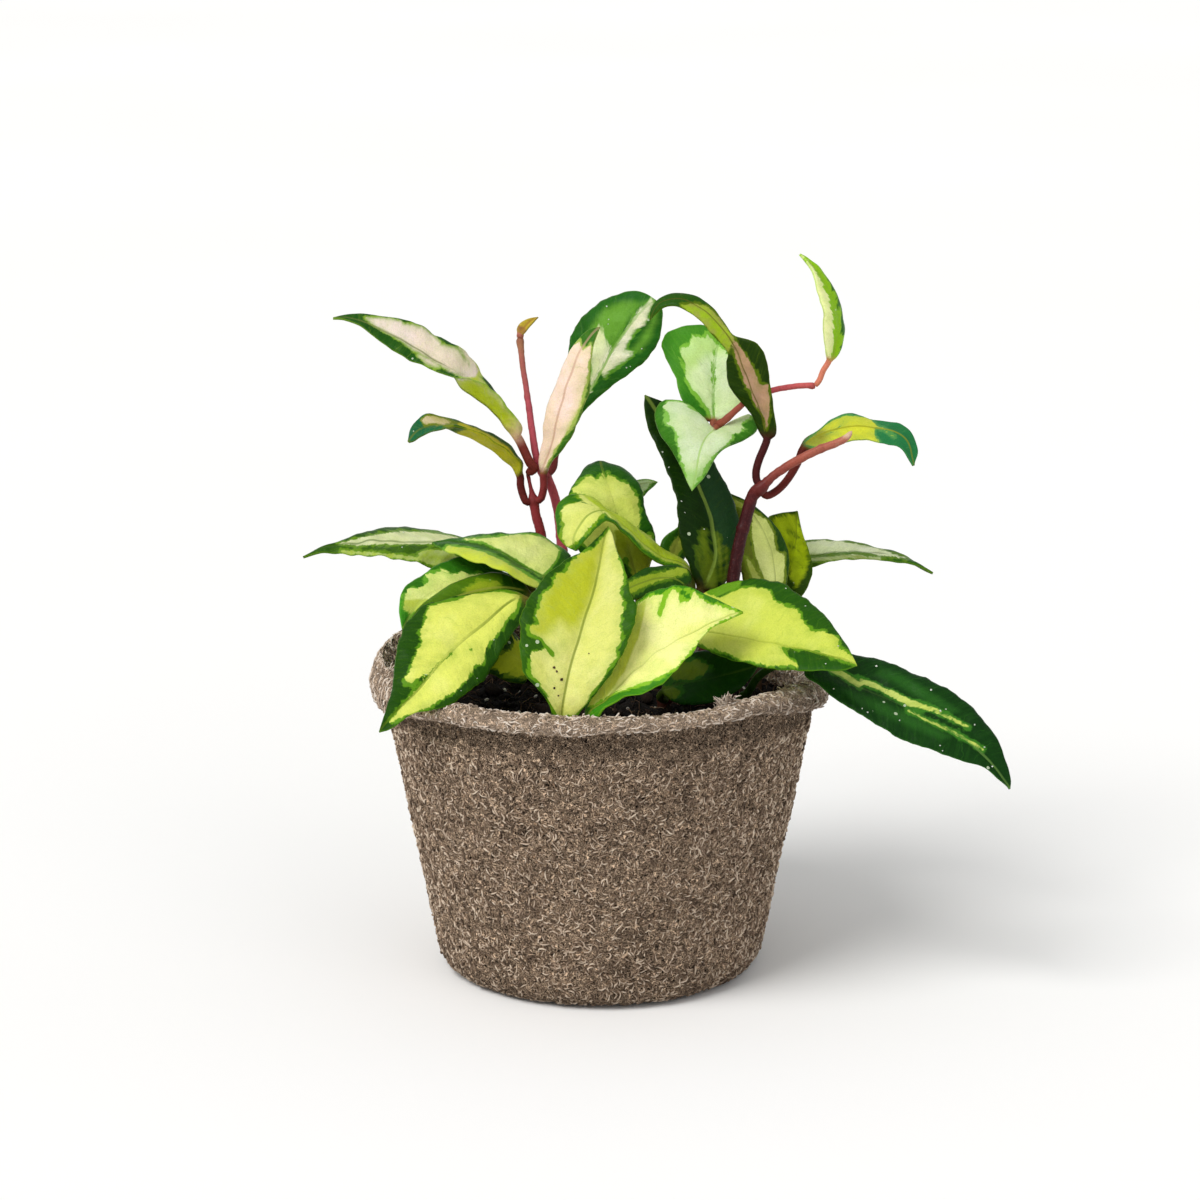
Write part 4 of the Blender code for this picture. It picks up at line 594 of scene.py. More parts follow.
        pale=[([(562, 512), (564, 508), (568, 505), (582, 503), (597, 508), (603, 515), (591, 528), (578, 541), (569, 547),
                (562, 537), (565, 525), (562, 516)], 0.62, 1.0)],
        inset=[(0.0, 0.66, 0.9, 1.6)],
        tone_range=(0.0, 0.64),
        colours=dict(pale=(227, 232, 124), pale2=(176, 200, 36), dark=(50, 112, 20), dark2=(56, 112, 16), mid=(120, 160, 24),
                     rib=(120, 150, 40), stalk=(80, 90, 30)), seed=74),
    "leaf_back_tip": dict(
        inset=[(0.0, 1.0, 0.9, 0.9)],
        colours=dict(pale=(194, 213, 164), pale2=(194, 213, 164), dark=(52, 108, 30), dark2=(52, 108, 30), mid=(120, 166, 74),
                     rib=(140, 160, 90), stalk=(90, 80, 30)), seed=77),
    "leaf_small_middle": dict(
        inset=[(0.1, 0.95, 2.6, 2.6)],
        colours=dict(pale=(172, 184, 60), pale2=(172, 184, 60), dark=(42, 92, 18), dark2=(42, 92, 18), mid=(96, 140, 30),
                     rib=(120, 140, 50), stalk=(80, 70, 30)), seed=80),
    "leaf_low_middle": dict(
        pale=[[(626, 585), (640, 579), (656, 574), (672, 570), (686, 568), (686, 574), (670, 579), (654, 584), (640, 590),
               (628, 596)]],
        colours=dict(pale=(152, 172, 42), pale2=(152, 172, 42), dark=(32, 72, 14), dark2=(32, 72, 14), mid=(84, 122, 22),
                     rib=(110, 130, 40), stalk=(70, 70, 24)), seed=83),
}

# Stem colours along the length: share of the path, colour.
STEM_LOOKS = {
    "stem_left": [(0.0, (90, 56, 40)), (0.45, (112, 34, 38)), (0.75, (138, 44, 48)), (1.0, (132, 44, 48))],
    "stem_left_rear": [(0.0, (120, 70, 60)), (0.35, (186, 78, 92)), (0.55, (196, 84, 98)), (0.82, (190, 84, 98)),
                       (0.91, (176, 96, 92)), (1.0, (168, 118, 84))],
    "stem_right": [(0.0, (38, 14, 12)), (0.3, (48, 12, 14)), (0.62, (60, 16, 20)), (0.7, (100, 32, 32)),
                   (0.82, (158, 80, 64)), (0.96, (176, 104, 84)), (1.0, (212, 178, 150))],
    "stem_right_rear": [(0.0, (110, 60, 50)), (0.5, (120, 60, 50)), (0.78, (150, 78, 58)), (0.87, (186, 74, 84)),
                        (1.0, (206, 100, 96))],
    "stem_front_left": [(0.0, (60, 44, 26)), (1.0, (70, 62, 28))],
    "stem_middle": [(0.0, (64, 34, 26)), (0.4, (70, 40, 28)), (1.0, (66, 56, 26))],
    "stem_back": [(0.0, (60, 46, 28)), (1.0, (70, 66, 30))],
    "stem_far_right": [(0.0, (60, 42, 28)), (1.0, (66, 56, 26))],
}

# Specks lying on the leaves: leaf, across, down, radius in millimetres, kind.
SPECKS = [
    ("leaf_front_middle", 555.6, 669, 0.36, "crumb"), ("leaf_front_middle", 557.5, 672, 0.30, "crumb"),
    ("leaf_front_middle", 560.8, 679.5, 0.40, "crumb"), ("leaf_front_middle", 553.6, 689, 0.34, "crumb"),
    ("leaf_front_middle", 559.5, 697, 0.26, "crumb"), ("leaf_front_middle", 588, 652, 0.20, "crumb"),
    ("leaf_right_hanging", 878, 665, 0.34, "dust"), ("leaf_right_hanging", 931, 690, 0.34, "dust"),
    ("leaf_right_hanging", 941, 710, 0.30, "dust"), ("leaf_right_hanging", 975, 725, 0.34, "dust"),
    ("leaf_right_hanging", 984, 747, 0.34, "dust"), ("leaf_right_hanging", 994, 766, 0.30, "dust"),
    ("leaf_right_hanging", 939, 745, 0.26, "dust"), ("leaf_right_hanging", 944, 751, 0.26, "dust"),
    ("leaf_right_hanging", 862, 709, 0.26, "dust"), ("leaf_right_hanging", 868, 713, 0.28, "dust"),
    ("leaf_right_hanging", 900, 721, 0.30, "dust"), ("leaf_right_hanging", 834, 688, 0.26, "dust"),
    ("leaf_right_wide", 785, 588, 0.22, "dust"), ("leaf_right_wide", 806, 604, 0.24, "dust"),
    ("leaf_right_wide", 838, 645, 0.24, "dust"), ("leaf_right_wide", 826, 664, 0.24, "dust"),
    ("leaf_tall_dark", 662, 451, 0.26, "dust"), ("leaf_tall_dark", 670, 468, 0.26, "dust"),
    ("leaf_tall_dark", 682, 502, 0.26, "dust"), ("leaf_tall_dark", 684, 513, 0.22, "dust"),
    ("leaf_tall_dark", 706, 528, 0.24, "dust"), ("leaf_upper_middle", 606, 307, 0.26, "dust"),
    ("leaf_upper_middle", 606, 318, 0.22, "dust"), ("leaf_upper_middle", 608, 325, 0.22, "dust"),
    ("leaf_upper_middle", 626, 367, 0.26, "dust"), ("leaf_upper_middle", 631, 365, 0.22, "dust"),
    ("leaf_upper_middle", 642, 349, 0.22, "dust"), ("leaf_far_left", 403, 531, 0.30, "dust"),
    ("leaf_far_left", 401.5, 546, 0.26, "dust"), ("leaf_front_left", 494, 640, 0.2, "dust"),
    ("leaf_front_left", 478, 676, 0.2, "dust"), ("leaf_front_left", 462, 690, 0.2, "dust"),
]


# ---- sheet and curves --------------------------------------------------------
def from_sheet(points):
    p = np.asarray(points, float).reshape(-1, 3)
    k = (VIEW_DISTANCE - p[:, 2]) / VIEW_DISTANCE / SHEET_UNITS_PER_MM
    across = (p[:, 0] - 600.0) * k
    up = (600.0 - p[:, 1]) * k
    world = across[:, None] * RIGHT + up[:, None] * UP + p[:, 2, None] * OUT
    world[:, 2] += SHEET_CENTRE_Z
    return world


def to_sheet(world):
    q = np.array(world, float)
    q[..., 2] -= SHEET_CENTRE_Z
    k = VIEW_DISTANCE / (VIEW_DISTANCE - q @ OUT) * SHEET_UNITS_PER_MM
    return np.stack([600.0 + (q @ RIGHT) * k, 600.0 - (q @ UP) * k], -1)


def root_points(root):
    across, out = root
    k = (VIEW_DISTANCE - out) / VIEW_DISTANCE / SHEET_UNITS_PER_MM
    points = []
    for z in (SOIL_TOP - ROOT_DEPTH, SOIL_TOP + 1.0):
        up = (z - SHEET_CENTRE_Z - OUT[2] * out) / UP[2]
        point = (across - 600.0) * k * RIGHT + up * UP + out * OUT
        point[2] += SHEET_CENTRE_Z
        points.append(point)
    return np.array(points)


def smooth(points, per_span=16):
    p = np.asarray(points, float)
    ends = np.vstack([2 * p[0] - p[1], p, 2 * p[-1] - p[-2]])
    spans = []
    for i in range(1, len(ends) - 2):
        p0, p1, p2, p3 = ends[i - 1:i + 3]
        t0 = 0.0
        t1 = t0 + max(np.linalg.norm(p1 - p0), 1e-6) ** 0.5
        t2 = t1 + max(np.linalg.norm(p2 - p1), 1e-6) ** 0.5
        t3 = t2 + max(np.linalg.norm(p3 - p2), 1e-6) ** 0.5
        last = i == len(ends) - 3
        t = np.linspace(t1, t2, per_span + 1)[: None if last else -1, None]
        a1 = (t1 - t) / (t1 - t0) * p0 + (t - t0) / (t1 - t0) * p1
        a2 = (t2 - t) / (t2 - t1) * p1 + (t - t1) / (t2 - t1) * p2
        a3 = (t3 - t) / (t3 - t2) * p2 + (t - t2) / (t3 - t2) * p3
        b1 = (t2 - t) / (t2 - t0) * a1 + (t - t0) / (t2 - t0) * a2
        b2 = (t3 - t) / (t3 - t1) * a2 + (t - t1) / (t3 - t1) * a3
        spans.append((t2 - t) / (t2 - t1) * b1 + (t - t1) / (t2 - t1) * b2)
    return np.vstack(spans)


class Path:
    def __init__(self, points, per_span=16):
        self.dense = smooth(points, per_span)
        steps = np.linalg.norm(np.diff(self.dense, axis=0), axis=1)
        self.run = np.concatenate([[0.0], np.cumsum(steps)])
        self.length = self.run[-1]
        self.knots = self.run[::per_span] / self.length

    def at(self, share):
        s = np.clip(np.asarray(share, float), 0, 1) * self.length
        return np.stack([np.interp(s, self.run, self.dense[:, k]) for k in range(3)], -1)


def unit(v):
    return v / np.maximum(np.linalg.norm(v, axis=-1, keepdims=True), 1e-9)


def ease(x, low, high):
    t = np.clip((np.asarray(x, float) - low) / (high - low), 0, 1)
    return t * t * (3 - 2 * t)


# ---- distances on the sheet --------------------------------------------------
def line_distance(p, points, closed):
    q = np.asarray(points, float)
    ends = np.roll(q, -1, 0) if closed else q[1:]
    starts = q if closed else q[:-1]
    best = np.full(len(p), 1e9)
    for a, b in zip(starts, ends):
        d = b - a
        t = np.clip(((p - a) @ d) / max(d @ d, 1e-9), 0, 1)
        best = np.minimum(best, np.linalg.norm(p - a - t[:, None] * d, axis=1))
    return best


def field_distance(p, outline):
    """Signed distance to a closed outline, positive inside, in sheet units."""
    q = np.asarray(outline, float)
    inside = np.zeros(len(p), bool)
    for a, b in zip(q, np.roll(q, -1, 0)):
        cross = (a[1] > p[:, 1]) != (b[1] > p[:, 1])
        with np.errstate(divide="ignore", invalid="ignore"):
            at = (b[0] - a[0]) * (p[:, 1] - a[1]) / (b[1] - a[1]) + a[0]
        inside ^= cross & (p[:, 0] < at)
    d = line_distance(p, q, True)
    return np.where(inside, d, -d)


# ---- smooth noise for shapes ---------------------------------------------------
class Lumps:
    """Sum of random plane waves: smooth, seeded, cheap for many points."""

    def __init__(self, seed, wavelength, waves=18, spread=0.5):
        rng = np.random.default_rng(seed)
        d = rng.normal(size=(waves, 3))
        d /= np.linalg.norm(d, axis=1, keepdims=True)
        lengths = wavelength * np.exp(rng.uniform(-spread, spread, waves))
        self.k = d * (2 * math.pi / lengths)[:, None]
        self.phase = rng.uniform(0, 2 * math.pi, waves)

    def __call__(self, p):
        p = np.asarray(p, float)
        flat = p.reshape(-1, 3)
        out = np.zeros(len(flat))
        for k, phase in zip(self.k, self.phase):
            out += np.sin(flat @ k + phase)
        return (out / math.sqrt(len(self.k) / 2)).reshape(p.shape[:-1])


# ---- meshes ------------------------------------------------------------------
def make_piece(name, verts, faces, mat, nodes=(), attrs=None):
    """verts in millimetres; faces a list of index arrays, one per number of corners."""
    mesh = bpy.data.meshes.new(name)
    verts = np.asarray(verts, float) * MM
    mesh.vertices.add(len(verts))
    mesh.vertices.foreach_set("co", verts.astype(np.float32).ravel())
    faces = [np.asarray(f, np.int64) for f in faces if len(f)]
    sizes = np.concatenate([np.full(len(f), f.shape[1]) for f in faces])
    index = np.concatenate([f.ravel() for f in faces]).astype(np.int32)
    starts = np.concatenate([[0], np.cumsum(sizes)[:-1]]).astype(np.int32)
    mesh.loops.add(len(index))
    mesh.loops.foreach_set("vertex_index", index)
    mesh.polygons.add(len(sizes))
    mesh.polygons.foreach_set("loop_start", starts)
    mesh.polygons.foreach_set("use_smooth", np.ones(len(sizes), bool))
    mesh.update(calc_edges=True)
    mesh.validate()
    for key, values in (attrs or {}).items():
        layer = mesh.attributes.new(key, "FLOAT", "POINT")
        layer.data.foreach_set("value", np.asarray(values, np.float32).ravel())
    mesh.materials.append(mat)
    obj = bpy.data.objects.new(name, mesh)
    bpy.context.scene.collection.objects.link(obj)
    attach(obj, "root")
    if nodes:
        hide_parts(*nodes)
    return obj


def ring_faces(rows, sides, closed=True):
    """Quads between successive rings of the same count."""
    i = np.arange(rows - 1)[:, None]
    j = np.arange(sides if closed else sides - 1)[None, :]
    k = (j + 1) % sides
    a, b = i * sides + j, i * sides + k
    c, d = (i + 1) * sides + k, (i + 1) * sides + j
    return np.stack([a, b, c, d], -1).reshape(-1, 4)


def tubes(paths, radii, sides=3, capped=True, outward=None):
    """Many thin tubes at once. paths (n, k, 3), radii (n, k). The first corner of each
    ring points outward where that direction is given."""
    n, k = paths.shape[:2]
    tangent = unit(np.gradient(paths, axis=1))
    if outward is None:
        ref = np.where(np.abs(tangent[..., 2:3]) > 0.8, np.array([1.0, 0, 0]), np.array([0, 0, 1.0]))
        first = unit(np.cross(tangent, ref))
    else:
        first = unit(outward - tangent * np.sum(outward * tangent, axis=-1, keepdims=True))
    second = np.cross(tangent, first)
    turn = 2 * math.pi * np.arange(sides) / sides
    ring = (first[:, :, None] * np.cos(turn)[None, None, :, None] + second[:, :, None] * np.sin(turn)[None, None, :, None])
    verts = paths[:, :, None] + ring * radii[:, :, None, None]
    quads = ring_faces(k, sides)
    base = (np.arange(n) * k * sides)[:, None, None]
    quads = (quads[None] + base).reshape(-1, 4)
    faces = [quads]
    if capped:
        start = np.arange(sides)[::-1][None] + (np.arange(n) * k * sides)[:, None]
        end = np.arange(sides)[None] + (np.arange(n) * k * sides + (k - 1) * sides)[:, None]
        faces.append(np.vstack([start, end]))
    return verts.reshape(-1, 3), faces


def blob(subdivisions):
    bm = bmesh.new()
    bmesh.ops.create_icosphere(bm, subdivisions=subdivisions, radius=1.0)
    v = np.array([p.co[:] for p in bm.verts])
    f = np.array([[p.index for p in q.verts] for q in bm.faces])
    bm.free()
    return v, f


def chunks(centres, radii, seed, subdivisions=2, rough=0.35, squash=(0.5, 1.0)):
    """Many irregular lumps at once."""
    rng = np.random.default_rng(seed)
    bv, bf = blob(subdivisions)
    n = len(centres)
    shape = Lumps(seed + 1, 1.9, 14, 0.6)
    offset = rng.uniform(-50, 50, (n, 1, 3))
    bump = 1 + rough * 0.6 * shape(bv[None] * 1.3 + offset)
    scale = rng.uniform(*squash, (n, 1, 3))
    v = bv[None] * bump[..., None] * scale
    q = rng.normal(size=(n, 4))
    q /= np.linalg.norm(q, axis=1, keepdims=True)
    w, x, y, z = q.T
    turn = np.stack([np.stack([1 - 2 * (y * y + z * z), 2 * (x * y - z * w), 2 * (x * z + y * w)], -1),
                     np.stack([2 * (x * y + z * w), 1 - 2 * (x * x + z * z), 2 * (y * z - x * w)], -1),
                     np.stack([2 * (x * z - y * w), 2 * (y * z + x * w), 1 - 2 * (x * x + y * y)], -1)], 1)
    v = np.einsum("nij,nkj->nki", turn, v) * np.asarray(radii)[:, None, None] + np.asarray(centres)[:, None]
    f = (bf[None] + (np.arange(n) * len(bv))[:, None, None]).reshape(-1, 3)
    shade = np.repeat(rng.uniform(0, 1, n), len(bv))
    return v.reshape(-1, 3), [f], shade


# ---- materials -----------------------------------------------------------------
def linear(colour):
    c = np.asarray(colour, float) / 255.0
    c = np.where(c <= 0.04045, c / 12.92, ((c + 0.055) / 1.055) ** 2.4)
    return (*[float(v) for v in c], 1.0)


class Look:
    """Builds one node material."""

    def __init__(self, name):
        self.mat = bpy.data.materials.new(name)
        self.mat.use_nodes = True
        self.tree = self.mat.node_tree
        self.shader = self.tree.nodes["Principled BSDF"]

    def node(self, kind, **settings):
        n = self.tree.nodes.new(kind)
        for key, value in settings.items():
            setattr(n, key, value)
        return n

    def link(self, value, socket):
        if isinstance(value, bpy.types.NodeSocket):
            self.tree.links.new(value, socket)
        else:
            socket.default_value = value

    def attr(self, name):
        return self.node("ShaderNodeAttribute", attribute_name=name).outputs["Fac"]

    def math(self, op, a, b=None, c=None, clamp=False):
        n = self.node("ShaderNodeMath", operation=op, use_clamp=clamp)
        self.link(a, n.inputs[0])
        if b is not None:
            self.link(b, n.inputs[1])
        if c is not None:
            self.link(c, n.inputs[2])
        return n.outputs[0]

    def step(self, value, low, high, to_low=0.0, to_high=1.0):
        n = self.node("ShaderNodeMapRange", interpolation_type="SMOOTHSTEP")
        self.link(value, n.inputs["Value"])
        self.link(low, n.inputs["From Min"])
        self.link(high, n.inputs["From Max"])
        self.link(to_low, n.inputs["To Min"])
        self.link(to_high, n.inputs["To Max"])
        return n.outputs["Result"]

    def mix(self, amount, a, b, blend="MIX"):
        n = self.node("ShaderNodeMix", data_type="RGBA", blend_type=blend, clamp_factor=True)
        self.link(amount, n.inputs[0])
        self.link(a, n.inputs[6])
        self.link(b, n.inputs[7])
        return n.outputs[2]

    def vector(self, x, y, z):
        n = self.node("ShaderNodeCombineXYZ")
        self.link(x, n.inputs[0])
        self.link(y, n.inputs[1])
        self.link(z, n.inputs[2])
        return n.outputs[0]

    def place(self):
        """Object coordinates in millimetres."""
        n = self.node("ShaderNodeVectorMath", operation="SCALE")
        self.tree.links.new(self.node("ShaderNodeTexCoord").outputs["Object"], n.inputs[0])
        n.inputs["Scale"].default_value = 1000.0
        return n.outputs[0]

    def noise(self, vector, scale, detail=2.0, rough=0.5):
        n = self.node("ShaderNodeTexNoise")
        self.tree.links.new(vector, n.inputs["Vector"])
        n.inputs["Scale"].default_value = scale
        n.inputs["Detail"].default_value = detail
        n.inputs["Roughness"].default_value = rough
        return n.outputs["Fac"]

    def cells(self, vector, scale):
        n = self.node("ShaderNodeTexVoronoi")
        self.tree.links.new(vector, n.inputs["Vector"])
        n.inputs["Scale"].default_value = scale
        return n.outputs["Distance"], n.outputs["Color"]

    def bump(self, height, distance, strength=1.0):
        n = self.node("ShaderNodeBump")
        n.inputs["Strength"].default_value = strength
        n.inputs["Distance"].default_value = distance
        self.tree.links.new(height, n.inputs["Height"])
        self.tree.links.new(n.outputs["Normal"], self.shader.inputs["Normal"])

    def ramp(self, value, stops):
        n = self.node("ShaderNodeValToRGB")
        self.tree.links.new(value, n.inputs[0])
        elements = n.color_ramp.elements
        while len(elements) < len(stops):
            elements.new(0.5)
        for e, (at, colour) in zip(elements, stops):
            e.position = at
            e.color = colour
        return n.outputs[0]


def leaf_look(name, look):
    """Green margin and pale heart with a boundary frayed along the side veins."""
    c = {k: linear(v) for k, v in look["colours"].items()}
    seed = float(look["seed"])
    jag = look.get("jag", 2.2)
    m = Look(name)
    place = m.place()
    vein_p, vein_q, side = m.attr("vein_p"), m.attr("vein_q"), m.attr("side")
    zone, tone, stalk = m.attr("zone"), m.attr("tone"), m.attr("stalk")
    rib, edge, top = m.attr("rib"), m.attr("edge"), m.attr("top")

    def vein_noise(across, along, shift, detail, rough):
        v = m.vector(m.math("MULTIPLY", vein_p, across), m.math("MULTIPLY", vein_q, along),
                     m.math("MULTIPLY_ADD", side, 3.0, seed + shift))
        return m.noise(v, 1.0, detail, rough)

    fray = vein_noise(0.62, 0.16, 0.0, 3.0, 0.62)
    fray2 = vein_noise(0.34, 0.14, 11.0, 3.0, 0.6)
    fine = m.noise(place, 1.1, 3.0, 0.6)
    field = m.math("MULTIPLY_ADD", m.math("SUBTRACT", fray, 0.5), jag, zone)
    field = m.math("MULTIPLY_ADD", m.math("SUBTRACT", fine, 0.5), 0.55, field)
    soft = 0.15 + look.get("soft", 0.0)
    pale_at = m.step(field, -soft, soft)
    second = m.math("MULTIPLY_ADD", m.math("SUBTRACT", fray2, 0.5), jag * 1.7, zone)
    second = m.math("MULTIPLY_ADD", m.math("SUBTRACT", fine, 0.5), 0.9, second)
    width = look.get("mid_width", 0.55)
    mid_at = m.step(second, -width - 0.25, -width + 0.25)
    tone_field = m.math("MULTIPLY_ADD", m.math("SUBTRACT", fray2, 0.5), 1.6, tone)
    tone_soft = look.get("tone_soft", 0.35)
    tone_at = m.step(tone_field, -tone_soft, tone_soft)

    cloud = m.noise(place, 0.13, 3.0, 0.55)
    streaky = vein_noise(1.1, 0.10, 23.0, 4.0, 0.65)
    dark = m.mix(tone_at, c["dark"], c["dark2"])
    dark = m.mix(m.step(streaky, 0.40, 0.90, 0.0, 0.22), dark, c["mid"])
    dark = m.mix(m.step(cloud, 0.25, 0.5, 0.30, 0.0), dark, linear([v * 0.55 for v in look["colours"]["dark"]]))
    green = m.mix(m.math("MULTIPLY", mid_at, 0.9), dark, c["mid"])
    pale = m.mix(tone_at, c["pale"], c["pale2"])
    washed = m.mix(0.5, c["pale"], c["mid"])
    pale = m.mix(m.step(streaky, 0.52, 0.9, 0.0, 0.30), pale, washed)
    lighter = [linear([min(255, v + k) for v, k in zip(look["colours"][key], (6, 4, 20))]) for key in ("pale", "pale2")]
    cream = m.mix(tone_at, *lighter)
    pale = m.mix(m.step(m.noise(place, 0.10, 2.0, 0.5), 0.45, 0.65, 0.0, 0.7), pale, cream)
    pale = m.mix(m.step(cloud, 0.5, 0.85, 0.0, 0.22), pale, c["mid"])
    mottle = m.noise(place, 0.45, 4.0, 0.65)
    pale = m.mix(m.step(mottle, 0.45, 0.75, 0.0, 0.22), pale, washed)
    near = m.math("MULTIPLY", m.step(field, 0.0, 2.6, 0.85, 0.0), m.step(fray2, 0.35, 0.65, 0.15, 0.75))
    pale = m.mix(near, pale, washed)
    # side veins, and a fine grain over all
    bent = m.math("MULTIPLY_ADD", m.math("SUBTRACT", m.noise(place, 0.25, 2.0, 0.5), 0.5), 5.0, vein_p)
    vein = m.math("ABSOLUTE", m.math("SUBTRACT", m.math("FRACT", m.math("MULTIPLY", bent, 0.23)), 0.5))
    vein = m.math("MULTIPLY", m.step(vein, 0.0, 0.06, 1.0, 0.0), m.step(m.noise(place, 0.3, 2.0, 0.6), 0.4, 0.65, 0.0, 1.0))
    pale = m.mix(m.math("MULTIPLY", vein, 0.30), pale, washed)
    green = m.mix(m.math("MULTIPLY", vein, 0.22), green, c["mid"])
    colour = m.mix(pale_at, green, pale)
    grain = m.noise(place, 3.2, 3.0, 0.7)
    deeper = m.node("ShaderNodeMix", data_type="RGBA", blend_type="MULTIPLY", clamp_factor=True)
    m.link(m.step(grain, 0.30, 0.62, 0.9, 0.0), deeper.inputs[0])
    m.link(colour, deeper.inputs[6])
    m.link((0.84, 0.87, 0.78, 1.0), deeper.inputs[7])
    colour = deeper.outputs[2]
    # flecks in the green
    distance, cell = m.cells(place, look.get("fleck_scale", 0.42))
    parts = m.node("ShaderNodeSeparateColor")
    m.tree.links.new(cell, parts.inputs[0])
    size = m.math("MULTIPLY", m.step(parts.outputs[0], 1.0 - 0.45 * look.get("fleck", 0.3), 1.0), 0.20)
    fleck = m.math("MULTIPLY", m.math("LESS_THAN", distance, size), m.math("SUBTRACT", 1.0, pale_at))
    colour = m.mix(m.math("MULTIPLY", fleck, 0.7), colour, linear((206, 220, 190)))
    # midrib, margin and underside
    half = look.get("rib_width", 0.30)
    rib_at = m.math("MULTIPLY", m.step(rib, half * 0.5, half * 1.5, 1.0, 0.0), m.step(stalk, 0.0, 0.3, 0.75, 0.0))
    rib_at = m.math("MULTIPLY", rib_at, m.step(m.attr("share"), 0.6, 1.0, 1.0, 0.5))
    colour = m.mix(rib_at, colour, c["rib"])
    # painted highlight: the margin is lightened towards the mid colour
    lip = m.math("MULTIPLY", m.step(edge, 0.05, 0.35, 0.45, 0.0), m.step(stalk, 0.0, 0.3, 1.0, 0.0))
    colour = m.mix(lip, colour, c["mid"])
    under = m.math("SUBTRACT", 1.0, top)
    colour = m.mix(m.math("MULTIPLY", under, 0.03), colour, linear((150, 176, 50)))
    stalk_at = m.step(m.math("MULTIPLY_ADD", m.math("SUBTRACT", fine, 0.5), 0.3, stalk), 0.05, 0.55)
    stalk_tint = m.mix(m.step(stalk, 0.42, 0.62), c.get("collar", c["stalk"]), c["stalk"])
    stalk_tint = m.mix(m.step(fine, 0.4, 0.75, 0.0, 0.25), stalk_tint, linear([v * 0.6 for v in look["colours"]["stalk"]]))
    colour = m.mix(stalk_at, colour, stalk_tint)
    m.link(colour, m.shader.inputs["Base Color"])

    rough = m.step(m.noise(place, 0.5, 3.0, 0.6), 0.3, 0.7, 0.28, 0.44)
    rough = m.math("MULTIPLY_ADD", under, 0.14, rough)
    m.link(rough, m.shader.inputs["Roughness"])
    height = m.math("MULTIPLY", streaky, 0.30)
    height = m.math("MULTIPLY_ADD", m.noise(place, 0.55, 2.0, 0.5), 0.8, height)
    height = m.math("MULTIPLY_ADD", grain, 0.16, height)
    height = m.math("MULTIPLY_ADD", vein, -0.10, height)
    height = m.math("MULTIPLY_ADD", fleck, 0.10, height)
    m.bump(height, 0.00035)
    m.shader.inputs["Specular IOR Level"].default_value = 0.07
    m.shader.inputs["Coat Weight"].default_value = 0.0
    m.shader.inputs["Coat Roughness"].default_value = 0.16
    m.shader.inputs["Subsurface Weight"].default_value = 0.10
    m.shader.inputs["Subsurface Scale"].default_value = 0.0012
    m.shader.inputs["Subsurface Radius"].default_value = (0.8, 1.0, 0.3)
    return m.mat


def stem_look(name, stops, seed):
    m = Look(name)
    place = m.place()
    along = m.attr("share")
    wander = m.noise(place, 0.5, 2.0, 0.5)
    share = m.math("MULTIPLY_ADD", m.math("SUBTRACT", wander, 0.5), 0.10, along)
    colour = m.ramp(share, [(at, linear(col)) for at, col in stops])
    fine = m.noise(place, 1.7, 3.0, 0.65)
    colour = m.mix(m.step(fine, 0.5, 0.85, 0.0, 0.20), colour, linear((190, 110, 104)))
    colour = m.mix(m.step(fine, 0.5, 0.2, 0.0, 0.35), colour, linear((48, 18, 20)))
    node = m.attr("node")
    colour = m.mix(m.math("MULTIPLY", node, 0.45), colour, linear((96, 40, 34)))
    m.link(colour, m.shader.inputs["Base Color"])
    m.link(m.step(fine, 0.3, 0.7, 0.34, 0.56), m.shader.inputs["Roughness"])
    height = m.math("MULTIPLY_ADD", m.noise(place, 3.2, 3.0, 0.6), 0.5, m.math("MULTIPLY", fine, 0.6))
    m.bump(height, 0.00012)
    m.shader.inputs["Specular IOR Level"].default_value = 0.16
    m.shader.inputs["Coat Weight"].default_value = 0.02
    return m.mat


def fibre_look(name, light, mid, dark):
    """Loose plant fibres: each has its own shade, which also carries painted shade on a thread's sides and ends; low
    darkens towards the pot's foot and adds painted shade under the lip and rim.
    """
    m = Look(name)
    place = m.place()
    shade = m.attr("shade")
    colour = m.ramp(shade, [(0.0, linear(dark)), (0.35, linear(mid)), (0.8, linear(light)), (1.0, linear([min(255, v + 18) for v in light]))])
    blotch = m.noise(place, 0.09, 3.0, 0.6)
    colour = m.mix(m.step(blotch, 0.5, 0.8, 0.0, 0.08), colour, linear(dark))
    grain = m.noise(place, 6.0, 2.0, 0.5)
    colour = m.mix(m.step(grain, 0.35, 0.7, 0.20, 0.0), colour, linear([v * 0.7 for v in mid]))
    # low: darker towards the bottom, with painted shade under the lip and on the rim's lower face
    bottom_darkening_and_painted_shade = m.attr("low")
    colour = m.mix(m.math("MULTIPLY", bottom_darkening_and_painted_shade, 0.45), colour, linear([v * 0.55 for v in mid]))
    m.link(colour, m.shader.inputs["Base Color"])
    m.link(m.step(grain, 0.3, 0.7, 0.8, 0.98), m.shader.inputs["Roughness"])
    m.bump(grain, 0.00015)
    m.shader.inputs["Specular IOR Level"].default_value = 0.12
    return m.mat


